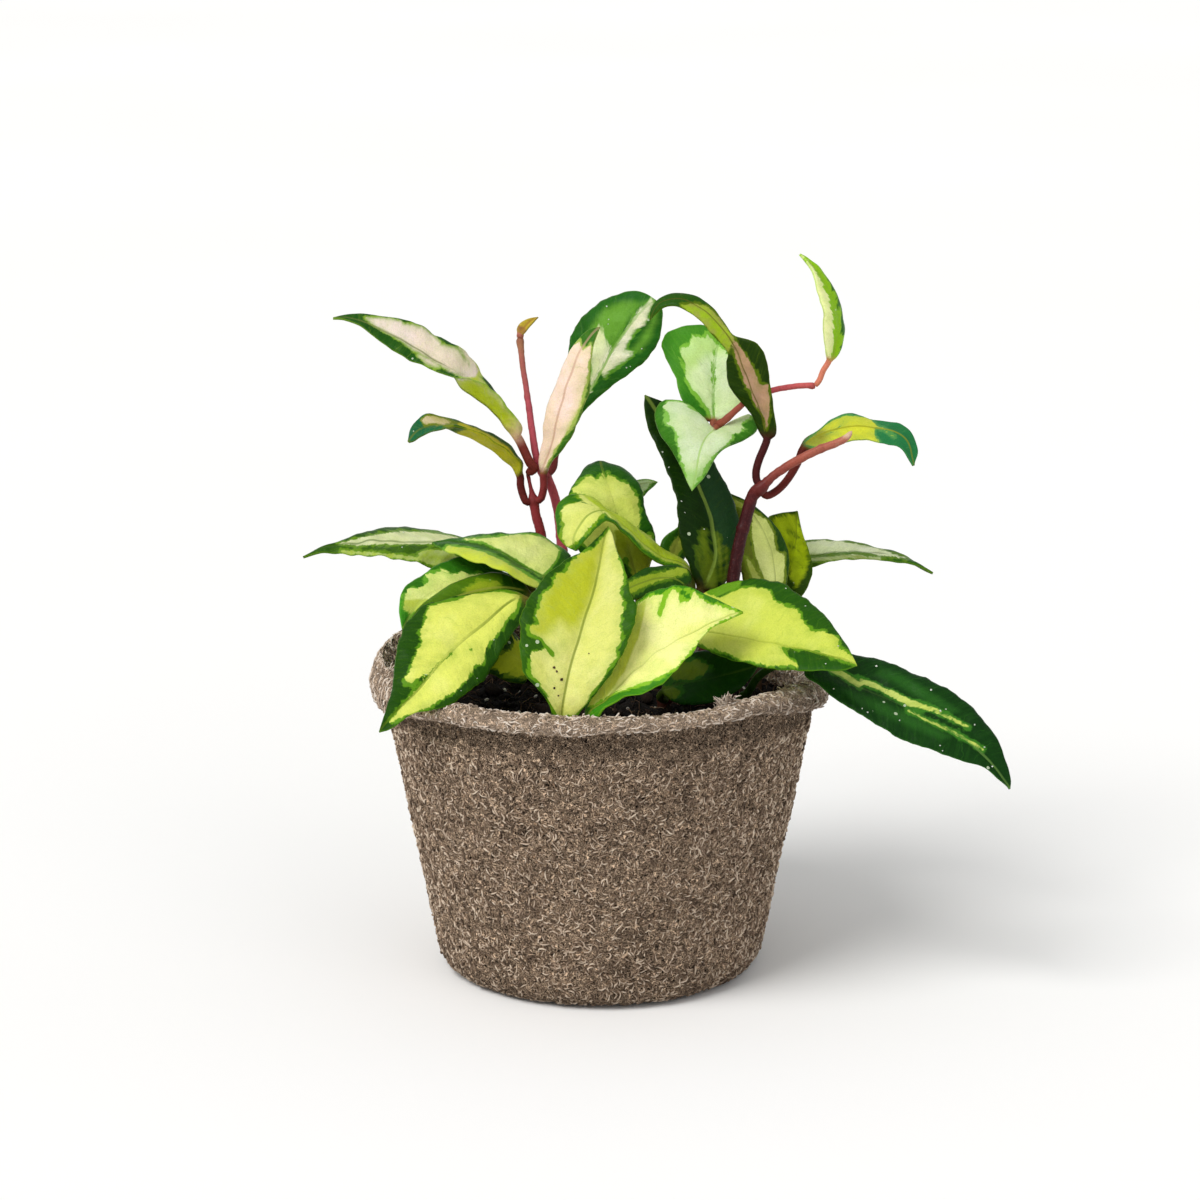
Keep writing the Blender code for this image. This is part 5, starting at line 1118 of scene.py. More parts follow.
def mat_look(name, light, mid, dark):
    """The pressed fibre mat: layers of curled threads crossing each other, with painted shade in the gaps and along the
    threads' edges.
    """
    m = Look(name)
    place = m.place()
    depth = m.attr("depth")
    painted_rim_light = m.attr("rim")
    # painted shade: a near-black base shows in the gaps between the threads
    colour = m.mix(0.0, linear([v * 0.75 for v in dark]), linear(dark))
    height = 0.0
    layers = [(0.80, 0.0, 0.085, mid, 0.9), (1.05, 31.0, 0.080, light, 1.2), (0.92, 57.0, 0.070, mid, 0.8),
              (1.25, 83.0, 0.080, light, 1.3), (0.70, 97.0, 0.050, light, 1.0)]
    for k, (scale, shift, width, tint, curl) in enumerate(layers):
        moved = m.node("ShaderNodeVectorMath", operation="ADD")
        m.tree.links.new(place, moved.inputs[0])
        moved.inputs[1].default_value = (shift, shift * 1.7, -shift)
        n = m.node("ShaderNodeTexNoise")
        m.tree.links.new(moved.outputs[0], n.inputs["Vector"])
        n.inputs["Scale"].default_value = scale
        n.inputs["Detail"].default_value = 0.6
        n.inputs["Distortion"].default_value = curl
        away = m.math("ABSOLUTE", m.math("SUBTRACT", n.outputs["Fac"], 0.5))
        cover = m.step(away, width * 0.75, width, 1.0, 0.0)
        core = m.step(away, width * 0.15, width * 0.9, 1.0, 0.0)
        shade = m.step(m.noise(moved.outputs[0], 0.6, 2.0, 0.6), 0.3, 0.7)
        body = m.mix(shade, linear([v * 0.72 for v in tint]), linear([min(255, v * 1.12) for v in tint]))
        # painted shade along each thread's edges, where it crosses the threads below
        body = m.mix(core, linear([v * 0.24 for v in mid]), body)
        colour = m.mix(cover, colour, body)
        height = m.math("MAXIMUM", m.math("MULTIPLY_ADD", core, 0.25, m.math("MULTIPLY", cover, 0.12 * (k + 1))), height)
    # painted shade in the pits: deeper places, broken up by noise, are darker
    painted_pit_shade = m.step(m.math("MULTIPLY_ADD", depth, 0.35, m.noise(place, 1.1, 3.0, 0.6)), 0.24, 0.40, 0.85, 0.0)
    colour = m.mix(painted_pit_shade, colour, linear([v * 0.6 for v in dark]))
    blotch = m.noise(place, 0.09, 3.0, 0.6)
    colour = m.mix(m.step(blotch, 0.5, 0.8, 0.0, 0.06), colour, linear(dark))
    # painted light on the rim, as lit from above
    colour = m.mix(m.math("MULTIPLY", painted_rim_light, 0.22), colour, linear((255, 228, 202)))
    # darker towards the bottom, with painted shade on the inner wall, under the lip and on the rim's lower face
    colour = m.mix(m.math("MULTIPLY", m.attr("low"), 0.5), colour, linear([v * 0.6 for v in dark]))
    m.link(colour, m.shader.inputs["Base Color"])
    m.link(m.step(height, 0.0, 0.8, 1.0, 0.85), m.shader.inputs["Roughness"])
    m.bump(height, 0.0012)
    m.shader.inputs["Specular IOR Level"].default_value = 0.08
    return m.mat


def grit_look(name, stops, scale=1.2, rough=(0.8, 1.0), bump=0.0005):
    m = Look(name)
    place = m.place()
    shade = m.attr("shade")
    fine = m.noise(place, scale, 4.0, 0.7)
    value = m.math("MULTIPLY_ADD", m.math("SUBTRACT", fine, 0.5), 0.5, shade)
    colour = m.ramp(value, [(at, linear(col)) for at, col in stops])
    m.link(colour, m.shader.inputs["Base Color"])
    m.link(m.step(fine, 0.3, 0.7, *rough), m.shader.inputs["Roughness"])
    m.bump(m.math("ADD", fine, m.math("MULTIPLY", m.noise(place, scale * 4, 2.0, 0.5), 0.4)), bump)
    m.shader.inputs["Specular IOR Level"].default_value = 0.25
    return m.mat


# ---- stems -------------------------------------------------------------------
STEM_PATHS = {}
for stem_name, spec in STEMS.items():
    STEM_PATHS[stem_name] = Path(np.vstack([root_points(spec["root"]), from_sheet(spec["path"])]))


def nearest_on_stems(point):
    best = (1e9, None, 0.0)
    for stem_name, path in STEM_PATHS.items():
        d = np.linalg.norm(path.dense - point, axis=1)
        i = int(np.argmin(d))
        if d[i] < best[0]:
            best = (float(d[i]), stem_name, path.run[i] / path.length, path.dense[i])
    return best


NODES = {stem_name: [] for stem_name in STEMS}
LEAF_FOOT = {}
for leaf_name, spec in LEAVES.items():
    if "root" not in spec:
        start = from_sheet(spec["mid"])[0]
        found = nearest_on_stems(start)
        if found[0] < 7.0:
            NODES[found[1]].append(found[2])
            LEAF_FOOT[leaf_name] = found[3]


def build_stem(name, spec, seed):
    path = STEM_PATHS[name]
    count = max(30, int(path.length / 0.55))
    sides = 22 if name.split("_")[1] in ("left", "right") else 16
    share = np.linspace(0, 1, count)
    centre = path.at(share)
    radius = np.interp(share, path.knots, spec["radii"])
    run = share * path.length
    swell = np.zeros(count)
    for at in NODES[name]:
        swell = np.maximum(swell, np.exp(-((run - at * path.length) / 1.15) ** 2))
    # scars of fallen leaves between the nodes
    rng = np.random.default_rng(seed)
    for at in rng.uniform(0.15, 0.9, 2 + int(path.length / 30)):
        swell = np.maximum(swell, 0.35 * np.exp(-((run - at * path.length) / 0.6) ** 2))
    radius = radius * (1 + 0.38 * swell)
    cap = np.minimum(1.0, np.sqrt(np.clip((path.length - run + 0.02) / 0.8, 0, 1)))
    radius = radius * np.maximum(cap, 0.12 if name == "stem_right" else 0.6)
    tangent = unit(np.gradient(centre, axis=0))
    ref = np.array([0, -1.0, 0.1])
    first = unit(np.cross(tangent, ref))
    second = np.cross(tangent, first)
    turn = 2 * math.pi * np.arange(sides) / sides
    ring = first[:, None] * np.cos(turn)[None, :, None] + second[:, None] * np.sin(turn)[None, :, None]
    lump = Lumps(seed, 1.6, 14)
    verts = centre[:, None] + ring * radius[:, None, None]
    verts += ring * (lump(verts) * 0.02 * (0.5 + radius[:, None]))[..., None]
    faces = [ring_faces(count, sides), np.arange(sides)[::-1][None], (np.arange(sides) + (count - 1) * sides)[None]]
    caps = np.vstack([faces[1], faces[2]])
    attrs = dict(share=np.repeat(share, sides), node=np.repeat(swell, sides))
    return make_piece(name + "_bark", verts.reshape(-1, 3), [faces[0], caps], stem_look(name, STEM_LOOKS[name], seed),
                      (name,), attrs)


# ---- leaves ------------------------------------------------------------------
LEAF_TOPS = {}


def build_leaf(name, spec, seed):
    look = LOOKS[name]
    stalk = spec.get("stalk", STALK_RADIUS)
    half = spec.get("half", BLADE_HALF_THICKNESS)
    mid_points = from_sheet(spec["mid"])
    start = spec["blade"]
    origin = mid_points[start]
    if "root" in spec:
        mid_points = np.vstack([root_points(spec["root"]), mid_points])
        start += 2
    elif name in LEAF_FOOT:
        foot = LEAF_FOOT[name]
        step = foot - mid_points[0]
        mid_points = np.vstack([mid_points[0] + step * 0.96, mid_points])
        start += 1
    mid = Path(mid_points)
    base = mid.knots[start]
    tip = mid_points[-1]
    side_a = Path(np.vstack([origin[None], from_sheet(spec["a"]), tip[None]]))
    side_b = Path(np.vstack([origin[None], from_sheet(spec["b"]), tip[None]]))

    def along(q):
        return base + (1 - base) * (0.65 * q + 0.35 * (1 - np.cos(np.pi * q)) / 2)

    length = mid.length * (1 - base)
    widest = np.linalg.norm(side_a.at(np.linspace(0.1, 0.9, 9)) - side_b.at(np.linspace(0.1, 0.9, 9)), axis=1).max()
    rows = int(np.clip(length / 0.68, 16, 84))
    cols = int(np.clip(widest / 0.66, 12, 50))
    stalk_rows = max(2, int(mid.length * base / 0.7)) if base > 0 else 1
    q = np.concatenate([np.zeros(stalk_rows), np.linspace(0, 1, rows + 1)])
    # closer rows towards the tip, where the blade narrows
    q = np.where(q > 0, 1 - (1 - q) ** 1.08, 0.0)
    s = np.concatenate([np.linspace(0, base, stalk_rows, endpoint=False), along(q[stalk_rows:])])
    n = len(s)
    centre = mid.at(s)
    tangent = unit(mid.at(np.minimum(s + 0.01, 1)) - mid.at(np.maximum(s - 0.01, 0)))
    wa, wb = side_a.at(q) - centre, side_b.at(q) - centre
    wa[:stalk_rows] = 0.0
    wb[:stalk_rows] = 0.0
    across = unit(side_b.at(0.22) - side_a.at(0.22))
    seen = spec.get("seen", 0.5)
    run = unit(mid.at(along(seen) + 0.02) - mid.at(along(seen) - 0.02))
    facing = np.cross(unit(side_b.at(seen) - side_a.at(seen)), run) @ OUT
    toward_b = 1.0
    if facing * (1 if spec.get("face", "top") == "top" else -1) < 0:
        wa, wb, across = wb, wa, -across
        toward_b = -1.0
    stalky = np.maximum(0.0, 1 - q / 0.14)[:, None]
    plain = unit(across[None] - tangent * (tangent @ across)[:, None])
    left = wa - plain * stalk * stalky
    right = wb + plain * stalk * stalky
    span = np.linalg.norm(right - left, axis=1, keepdims=True)
    sideways = np.where(span > 1e-6, unit(right - left), plain)
    normal = unit(np.cross(sideways, tangent))
    for _ in range(2):
        normal[1:-1] = unit(normal[:-2] + 2 * normal[1:-1] + normal[2:])
    x = np.minimum(1.0, q / 0.16)
    x = x * x * (3 - 2 * x)
    thick = (stalk * (1 - x) + half * x) * (1 - np.maximum(0.0, q - 0.75) * 1.2)
    thick[0] *= 0.7

    turn = np.linspace(0, math.pi, cols)
    c = 0.35 * np.cos(turn) + 0.65 * (1 - 2 * turn / math.pi)
    c[0], c[-1] = 1.0, -1.0
    c_all = np.concatenate([c, c[-2:0:-1]])
    upper = np.concatenate([np.ones(cols), -np.ones(cols - 2)])
    sides = len(c_all)
    C, Q = np.meshgrid(c_all, q)
    reach_r = np.linalg.norm(right, axis=1)[:, None]
    reach_l = np.linalg.norm(left, axis=1)[:, None]
    reach = np.where(C >= 0, reach_r, reach_l)
    rng = np.random.default_rng(seed)
    x_ = x[:, None]
    U = ((s - base) * mid.length)[:, None] * np.ones((1, sides))
    V = C * reach
    # wavy margins
    phase = rng.uniform(0, 2 * math.pi, 8)
    sgn = np.where(C >= 0, 0.0, 2.1)
    wavelength = rng.uniform(13, 19)
    wave = (np.abs(C) ** 1.8) * (0.38 * np.sin(2 * math.pi * U / wavelength + phase[0] + sgn)
                                 + 0.11 * np.sin(2 * math.pi * U / (wavelength * 0.41) + phase[1] + 1.7 * sgn))
    wave *= look.get("wave", 1.0) * np.minimum(1.0, reach / 7.0)
    margin = 1 + x_ * (0.012 * np.sin(2 * math.pi * U / 6.3 + phase[2] + sgn) + 0.008 * np.sin(2 * math.pi * U / 2.7 + phase[3] + sgn))
    margin = np.where(np.abs(C) > 0.6, 1 + (margin - 1) * (np.abs(C) - 0.6) / 0.4, 1.0)
    P = 2.0 + 5.0 * x_
    height = thick[:, None] * np.sqrt(np.clip(1 - np.abs(C) ** P, 0, 1))
    bulge = 0.2 * x_ * reach * (np.abs(C) - C * C)
    vein_p = U - 0.75 * np.abs(V)
    ripple = 0.05 * np.sin(2 * math.pi * vein_p / 4.6 + phase[4]) * np.clip(np.abs(V) / 3.0, 0, 1) * x_
    lump = Lumps(seed + 7, 7.0, 12)
    groove = np.where(upper[None] > 0, -0.26 * np.exp(-(V / 0.5) ** 2), -0.30 * np.exp(-(V / 0.55) ** 2)) * x_ * (1 - 0.6 * Q)
    offset = np.where(C[..., None] >= 0, right[:, None] * C[..., None], left[:, None] * -C[..., None]) * margin[..., None]
    middle = centre[:, None] + offset
    body = middle + normal[:, None] * (bulge + wave * x_)[..., None]
    body = body + normal[:, None] * (0.16 * lump(middle) * x_ * np.minimum(1, reach / 5))[..., None]
    verts = body + normal[:, None] * (upper[None] * height + groove + ripple)[..., None]
    grid = np.arange(n * sides).reshape(n, sides)

    # fields on the sheet
    flat = to_sheet(body).reshape(-1, 2)
    gq = Q.ravel()
    edge = (reach * (1 - np.abs(C))).ravel()
    cb = (C * toward_b).ravel()
    from_a = np.where(cb < 0, edge, 99.0)
    from_b = np.where(cb > 0, edge, 99.0)
    total = length

    def limited(d, g0, g1):
        return np.minimum(d, np.minimum((gq - g0) * total + 1e-6, (g1 - gq) * total))

    zone = np.full(len(flat), -9.0)
    for item in look.get("pale", []):
        outline, g0, g1 = item if isinstance(item, tuple) else (item, -0.5, 1.5)
        d = field_distance(flat, outline) / SHEET_UNITS_PER_MM
        zone = np.maximum(zone, limited(d, g0, g1) if (g0, g1) != (-0.5, 1.5) else d)
    for g0, g1, ma, mb in look.get("inset", []):
        d = np.minimum(from_a - ma, from_b - mb)
        zone = np.maximum(zone, limited(np.minimum(d, 9.0), g0, g1))
    for width, points in look.get("streaks", []):
        zone = np.maximum(zone, (width / 2 - line_distance(flat, points, False)) / SHEET_UNITS_PER_MM)
    for outline in look.get("cut", []):
        zone = np.minimum(zone, -field_distance(flat, outline) / SHEET_UNITS_PER_MM)
    for width, points in look.get("lines", []):
        zone = np.minimum(zone, (line_distance(flat, points, False) - width / 2) / SHEET_UNITS_PER_MM)
    tone = np.full(len(flat), -9.0)
    for outline in look.get("tone", []):
        tone = np.maximum(tone, field_distance(flat, outline) / SHEET_UNITS_PER_MM)
    if "tone_range" in look:
        g0, g1 = look["tone_range"]
        tone = np.maximum(tone, np.minimum((gq - g0) * total if g0 > 0 else 9.0, (g1 - gq) * total if g1 < 1 else 9.0))
    collar = look.get("collar_length", 0.10)
    stalk_share = np.where(np.arange(n) < stalk_rows, 1 - 0.5 * np.arange(n) / max(1, stalk_rows), 0.5 * np.maximum(0, 1 - q / collar))
    attrs = dict(
        zone=np.clip(zone, -6, 6), tone=np.clip(tone, -6, 6), vein_p=vein_p, vein_q=np.abs(V),
        side=np.sign(C) * np.minimum(1, np.abs(V) / 0.4), rib=np.abs(V), edge=edge,
        top=np.broadcast_to((upper[None] > 0) | (np.abs(C) > 0.999), C.shape).astype(float),
        share=Q, stalk=np.repeat(stalk_share, sides))
    caps = np.vstack([grid[0][::-1][None], grid[-1][None]])
    obj = make_piece(name + "_blade", verts.reshape(-1, 3), [ring_faces(n, sides), caps], leaf_look(name, look),
                     (name,), attrs)
    tops = (upper[None] > 0) & (Q > 0.02)
    LEAF_TOPS[name] = (verts[np.broadcast_to(tops, C.shape)], np.broadcast_to(normal[:, None], verts.shape)[np.broadcast_to(tops, C.shape)])
    return obj


def on_leaf(name, across, down):
    """The point of a leaf's upper face drawn at that place of the sheet, and its normal."""
    points, normals = LEAF_TOPS[name]
    q = to_sheet(points)
    d = np.hypot(q[:, 0] - across, q[:, 1] - down)
    near = np.where(d < d.min() + 2.0)[0]
    out = points[near] @ OUT
    i = near[int(np.argmax(out - 0.3 * d[near]))]
    return points[i], normals[i]


# ---- pot ---------------------------------------------------------------------
# Rim warp round the pot: degrees from +X towards +Y, lift of the top, of the lip,
# and outward spread, in millimetres.
RIM_WARP = np.array([
    (-180, 1.8, -2.6, 0.5), (-160, 1.2, -3.4, 0.3), (-150, 0.8, -1.0, 0.0), (-135, 0.5, 1.4, -0.2),
    (-110, 0.6, 2.2, 0.0), (-90, 0.8, 2.8, 0.0), (-60, 0.7, 3.3, 0.1), (-45, 1.7, 3.4, 0.1), (-25, 0.2, -0.6, 0.3),
    (-8, -2.6, -3.8, 0.6), (10, -3.7, -4.1, 0.4), (40, -3.6, -2.8, 0.0), (70, -1.2, -0.8, 0.0), (100, 0.4, 0.2, 0.0),
    (125, 2.2, 0.4, 0.2), (145, 3.2, -0.4, 0.4), (165, 2.6, -1.6, 0.6), (180, 1.8, -2.6, 0.5)])


def warp(angle):
    """Periodic, smoothed rim offsets at the angles (radians)."""
    fine = np.radians(np.arange(-180, 180, 3.0))
    key = np.radians(RIM_WARP[:, 0])
    out = []
    for column in (1, 2, 3):
        v = np.interp(fine, key, RIM_WARP[:, column])
        for _ in range(3):
            v = (np.roll(v, 1) + 2 * v + np.roll(v, -1)) / 4
        out.append(np.interp(np.mod(angle + math.pi, 2 * math.pi) - math.pi, np.append(fine, math.pi), np.append(v, v[0])))
    return out


SLOPE = (POT_NECK_RADIUS - POT_BASE_RADIUS) / (POT_NECK_HEIGHT - 6.0)
INSIDE = POT_INSIDE_RADIUS
TAPER = POT_INSIDE_TAPER
TOP = POT_HEIGHT
# radius, height, share of the top's lift, share of the lip's
POT_SECTION = np.array([
    (INSIDE + 0.2, 6.5, 0, 0), (INSIDE + TAPER * 24, 30, 0, 0), (INSIDE + TAPER * 42, 48, 0, 0), (INSIDE + TAPER * 54, 60, 0.1, 0),
    (INSIDE + TAPER * 60, 66, 0.5, 0), (47.6, TOP - 3.0, 0.9, 0), (48.6, TOP - 0.9, 1, 0), (50.8, TOP, 1, 0), (52.6, TOP - 0.4, 0.9, 0.1),
    (53.9, TOP - 1.3, 0.7, 0.3), (POT_RIM_RADIUS, TOP - 2.6, 0.4, 0.6), (POT_RIM_RADIUS - 0.1, TOP - 3.9, 0.15, 0.85), (53.4, TOP - 5.0, 0, 1),
    (52.2, TOP - 5.6, 0, 1), (51.3, TOP - 6.0, 0, 0.9), (51.0, TOP - 7.2, 0, 0.6), (51.3, POT_NECK_HEIGHT - 0.4, 0, 0.2),
    (POT_BASE_RADIUS + SLOPE * 54, 60, 0, 0), (POT_BASE_RADIUS + SLOPE * 42, 48, 0, 0),
    (POT_BASE_RADIUS + SLOPE * 24, 30, 0, 0), (POT_BASE_RADIUS + SLOPE * 8, 14, 0, 0), (POT_BASE_RADIUS, 6.0, 0, 0), (39.1, 3.2, 0, 0), (37.4, 1.0, 0, 0),
    (POT_FOOT_RADIUS, 0.1, 0, 0)])
section = Path(np.column_stack([POT_SECTION[:, 0], np.zeros(len(POT_SECTION)), POT_SECTION[:, 1]]), 12)
SECTION_LENGTH = section.length
SECTION_RUN = section.run
SECTION_R, SECTION_Z = section.dense[:, 0], section.dense[:, 2]
knot_run = section.knots * section.length
SECTION_TOP = np.interp(SECTION_RUN, knot_run, POT_SECTION[:, 2])
SECTION_LIP = np.interp(SECTION_RUN, knot_run, POT_SECTION[:, 3])
RIM_START, LIP_END, RIM_END = knot_run[4], knot_run[13], knot_run[16]
wide_lumps = Lumps(101, 26.0, 16)
mat_lumps = Lumps(102, 5.0, 26, 0.5)
knot_lumps = Lumps(103, 1.9, 34, 0.45)
small_lumps = Lumps(104, 0.95, 34, 0.35)


def pot_surface(angle, run):
    """Point, outward normal and roughness height of the pot at an angle and a run along its section."""
    r = np.interp(run, SECTION_RUN, SECTION_R)
    z = np.interp(run, SECTION_RUN, SECTION_Z)
    top = np.interp(run, SECTION_RUN, SECTION_TOP)
    lip = np.interp(run, SECTION_RUN, SECTION_LIP)
    wt, wl, wr = warp(angle)
    z = z + top * wt + lip * wl
    r = r + (top + lip) * wr
    # the rim is thinner at the left, where its inner side is pressed outwards
    away = np.mod(angle, 2 * math.pi) - math.radians(180)
    r = r + 3.0 * np.exp(-(away / math.radians(17)) ** 4) * top * (1 - ease(run, knot_run[6], knot_run[8]))
    h = 0.3
    r2, z2 = np.interp(run + h, SECTION_RUN, SECTION_R), np.interp(run + h, SECTION_RUN, SECTION_Z)
    r1, z1 = np.interp(run - h, SECTION_RUN, SECTION_R), np.interp(run - h, SECTION_RUN, SECTION_Z)
    dr, dz = r2 - r1, z2 - z1
    size = np.maximum(np.hypot(dr, dz), 1e-6)
    # the section runs up the inside, over the rim and down the outside: outward is to its left
    nr, nz = -dz / size, dr / size
    cos, sin = np.cos(angle), np.sin(angle)
    point = np.stack([r * cos, r * sin, z], -1)
    normal = np.stack([nr * cos, nr * sin, nz], -1)
    rim = ease(run, RIM_START - 2, RIM_START + 3) * (1 - ease(run, RIM_END - 1, RIM_END + 4))
    rough = 0.06 * mat_lumps(point) + 0.06 * knot_lumps(point) + 0.06 * small_lumps(point)
    rough = rough * (1 + 0.5 * rim) + 0.10 * wide_lumps(point)
    outer = ease(run, RIM_END + 1, RIM_END + 4)
    rings = np.zeros_like(z)
    for at, size_, amount in ((63.0, 1.3, -0.35), (60.0, 1.0, 0.28), (54.5, 0.9, -0.2), (45.5, 0.8, -0.16), (14.5, 1.2, 0.18), (9.5, 1.0, -0.2)):
        rings += amount * np.exp(-((z - at) / size_) ** 2)
    rough = rough + outer * rings * (0.7 + 0.5 * np.sin(angle * 3 + 1.0))
    foot = ease(z, 0.2, 2.5)
    return point, normal, rough * np.where(run > RIM_END, foot, 1.0)


def painted_lip_shadow(run):
    """How far the wall right under the lip is darkened by painted shadow."""
    return 0.75 * ease(run, LIP_END - 0.6, LIP_END + 0.8) * (1 - ease(run, RIM_END - 1.0, RIM_END + 1.8))


def painted_rim_shade(angle, run):
    """How far painted shade darkens the lower face of the rim at the right front."""
    turn = np.degrees(np.mod(angle + math.pi, 2 * math.pi) - math.pi)
    share = ease(turn, -64, -40) * (1 - ease(turn, 30, 60))
    return 0.85 * share * ease(run, knot_run[9] - 0.4, knot_run[11] - 0.2) * (1 - ease(run, LIP_END - 0.6, LIP_END + 0.8))


def build_pot():
    around = 380
    angle = np.linspace(0, 2 * math.pi, around, endpoint=False)
    inner = np.linspace(0, RIM_START, 18, endpoint=False)
    rim = np.linspace(RIM_START, RIM_END, 46, endpoint=False)
    outer = np.linspace(RIM_END, SECTION_LENGTH, 96)
    run = np.concatenate([inner, rim, outer])
    A, R = np.meshgrid(angle, run)
    point, normal, rough = pot_surface(A, R)
    verts = point + normal * rough[..., None]
    rows = len(run)
    floor_top, floor_bottom = [], []
    depth = [rough.ravel()]
    # floor discs, in rings that close on the middle
    in_r, out_r = INSIDE + 0.2, POT_FOOT_RADIUS
    inner_rings = np.linspace(in_r - 1.2, 2.0, 6)
    outer_rings = np.linspace(out_r - 1.0, 2.0, 16)
    cos, sin = np.cos(angle), np.sin(angle)
    lump = Lumps(120, 4.0, 20)
    stack = [verts.reshape(-1, 3)]
    for r in inner_rings:
        p = np.stack([r * cos, r * sin, np.full(around, POT_FLOOR + 0.2)], -1)
        p[:, 2] += 0.12 * lump(p)
        floor_top.append(p)
    for r in outer_rings:
        p = np.stack([r * cos, r * sin, np.full(around, 0.0)], -1)
        p[:, 2] = np.maximum(0.0, 0.10 + 0.12 * lump(p))
        floor_bottom.append(p)
    stack += floor_top + floor_bottom + [np.array([[0, 0, POT_FLOOR + 0.2]]), np.array([[0, 0, 0.1]])]
    all_verts = np.vstack(stack)
    quads = [ring_faces(rows, around)[:, ::-1]]
    first_top = rows * around
    order = [np.arange(around)] + [first_top + i * around + np.arange(around) for i in range(len(inner_rings))]
    for a, b in zip(order[:-1], order[1:]):
        quads.append(np.stack([a, np.roll(a, -1), np.roll(b, -1), b], -1))
    first_bottom = first_top + len(inner_rings) * around
    order2 = [(rows - 1) * around + np.arange(around)] + [first_bottom + i * around + np.arange(around) for i in range(len(outer_rings))]
    for a, b in zip(order2[:-1], order2[1:]):
        quads.append(np.stack([b, np.roll(b, -1), np.roll(a, -1), a], -1))
    middle = len(all_verts) - 2
    a = order[-1]
    tris = [np.stack([a, np.roll(a, -1), np.full(around, middle)], -1)]
    a = order2[-1]
    tris.append(np.stack([np.roll(a, -1), a, np.full(around, middle + 1)], -1))
    height = all_verts[:, 2]
    depth = np.concatenate([rough.ravel(), np.zeros(len(all_verts) - rough.size)])
    low = np.clip(1 - height / 9.0, 0, 1) * 0.8
    # painted shade: the inner wall is darkened through low, as if in shadow
    inside = np.concatenate([np.repeat((run < RIM_START).astype(float), around), np.zeros(len(all_verts) - rough.size)])
    mat = mat_look("pressed_fibre", (226, 196, 166), (156, 128, 103), (18, 12, 8))
    # painted shadow under the lip and painted shade on the rim's lower face at the right, carried by low
    painted_shade_below = np.concatenate([np.maximum(painted_lip_shadow(R), painted_rim_shade(A, R)).ravel(), np.zeros(len(all_verts) - rough.size)])
    # painted light: the rim is made paler, as where light falls on it from above
    painted_rim_light_share = np.concatenate([np.repeat(ease(run, RIM_START - 2, RIM_START + 3) * (1 - ease(run, LIP_END - 0.5, LIP_END + 0.5)), around),
                                np.zeros(len(all_verts) - rough.size)])
    obj = make_piece("pot_wall", all_verts, [np.vstack(quads), np.vstack(tris)], mat, ("pot",),
                     dict(depth=depth, low=np.maximum(np.maximum(low, inside * 0.95), painted_shade_below), rim=painted_rim_light_share))
    # drainage holes
    cutters = []
    for k in range(DRAIN_HOLES):
        turn = 2 * math.pi * (k + 0.5) / DRAIN_HOLES
        bm = bmesh.new()
        bmesh.ops.create_cone(bm, cap_ends=True, segments=40, radius1=DRAIN_HOLE_RADIUS * MM, radius2=DRAIN_HOLE_RADIUS * MM, depth=0.014,
                              matrix=Matrix.Translation((DRAIN_HOLE_CIRCLE * math.cos(turn) * MM, DRAIN_HOLE_CIRCLE * math.sin(turn) * MM, 0.002)))
        mesh = bpy.data.meshes.new("drain_cutter_%d" % k)
        bm.to_mesh(mesh)
        bm.free()
        cutter = bpy.data.objects.new("drain_cutter_%d" % k, mesh)
        bpy.context.scene.collection.objects.link(cutter)
        cutters.append(cutter)
        hole = obj.modifiers.new("hole_%d" % k, "BOOLEAN")
        hole.operation = "DIFFERENCE"
        hole.solver = "EXACT"
        hole.object = cutter
    bpy.context.view_layer.update()
    evaluated = obj.evaluated_get(bpy.context.evaluated_depsgraph_get())
    cut_mesh = bpy.data.meshes.new_from_object(evaluated)
    obj.modifiers.clear()
    old = obj.data
    obj.data = cut_mesh
    bpy.data.meshes.remove(old)
    for cutter in cutters:
        mesh = cutter.data
        bpy.data.objects.remove(cutter)
        bpy.data.meshes.remove(mesh)
    return obj


def fibre_paths(rng, n, angle, run, length, points, curl, lift, tuck):
    """Curled threads lying on the pot: n paths of so many points."""
    t = np.linspace(-0.5, 0.5, points)[None] * length[:, None]
    heading = rng.uniform(0, 2 * math.pi, n)[:, None]
    bend = rng.normal(0, curl, n)[:, None]
    wiggle = rng.uniform(0.2, 0.9, n)[:, None]
    phase = rng.uniform(0, 2 * math.pi, n)[:, None]
    h = heading + bend * t + wiggle * np.sin(t * rng.uniform(0.9, 2.0, n)[:, None] + phase)
    step = length[:, None] / (points - 1)
    dx, dy = np.cos(h) * step, np.sin(h) * step
    x = np.cumsum(dx, 1) - dx[:, :1]
    y = np.cumsum(dy, 1) - dy[:, :1]
    x -= x.mean(1, keepdims=True)
    y -= y.mean(1, keepdims=True)
    r = np.interp(run, SECTION_RUN, SECTION_R)[:, None]
    A = angle[:, None] + x / r
    R = np.clip(run[:, None] + y, 0.5, SECTION_LENGTH - 0.2)
    point, normal, rough = pot_surface(A, R)
    u = np.linspace(0, 1, points)[None]
    arch = lift[:, None] * np.sin(math.pi * u) - tuck[:, None] * (1 - np.sin(math.pi * u))
    return point + normal * (rough + arch)[..., None], normal


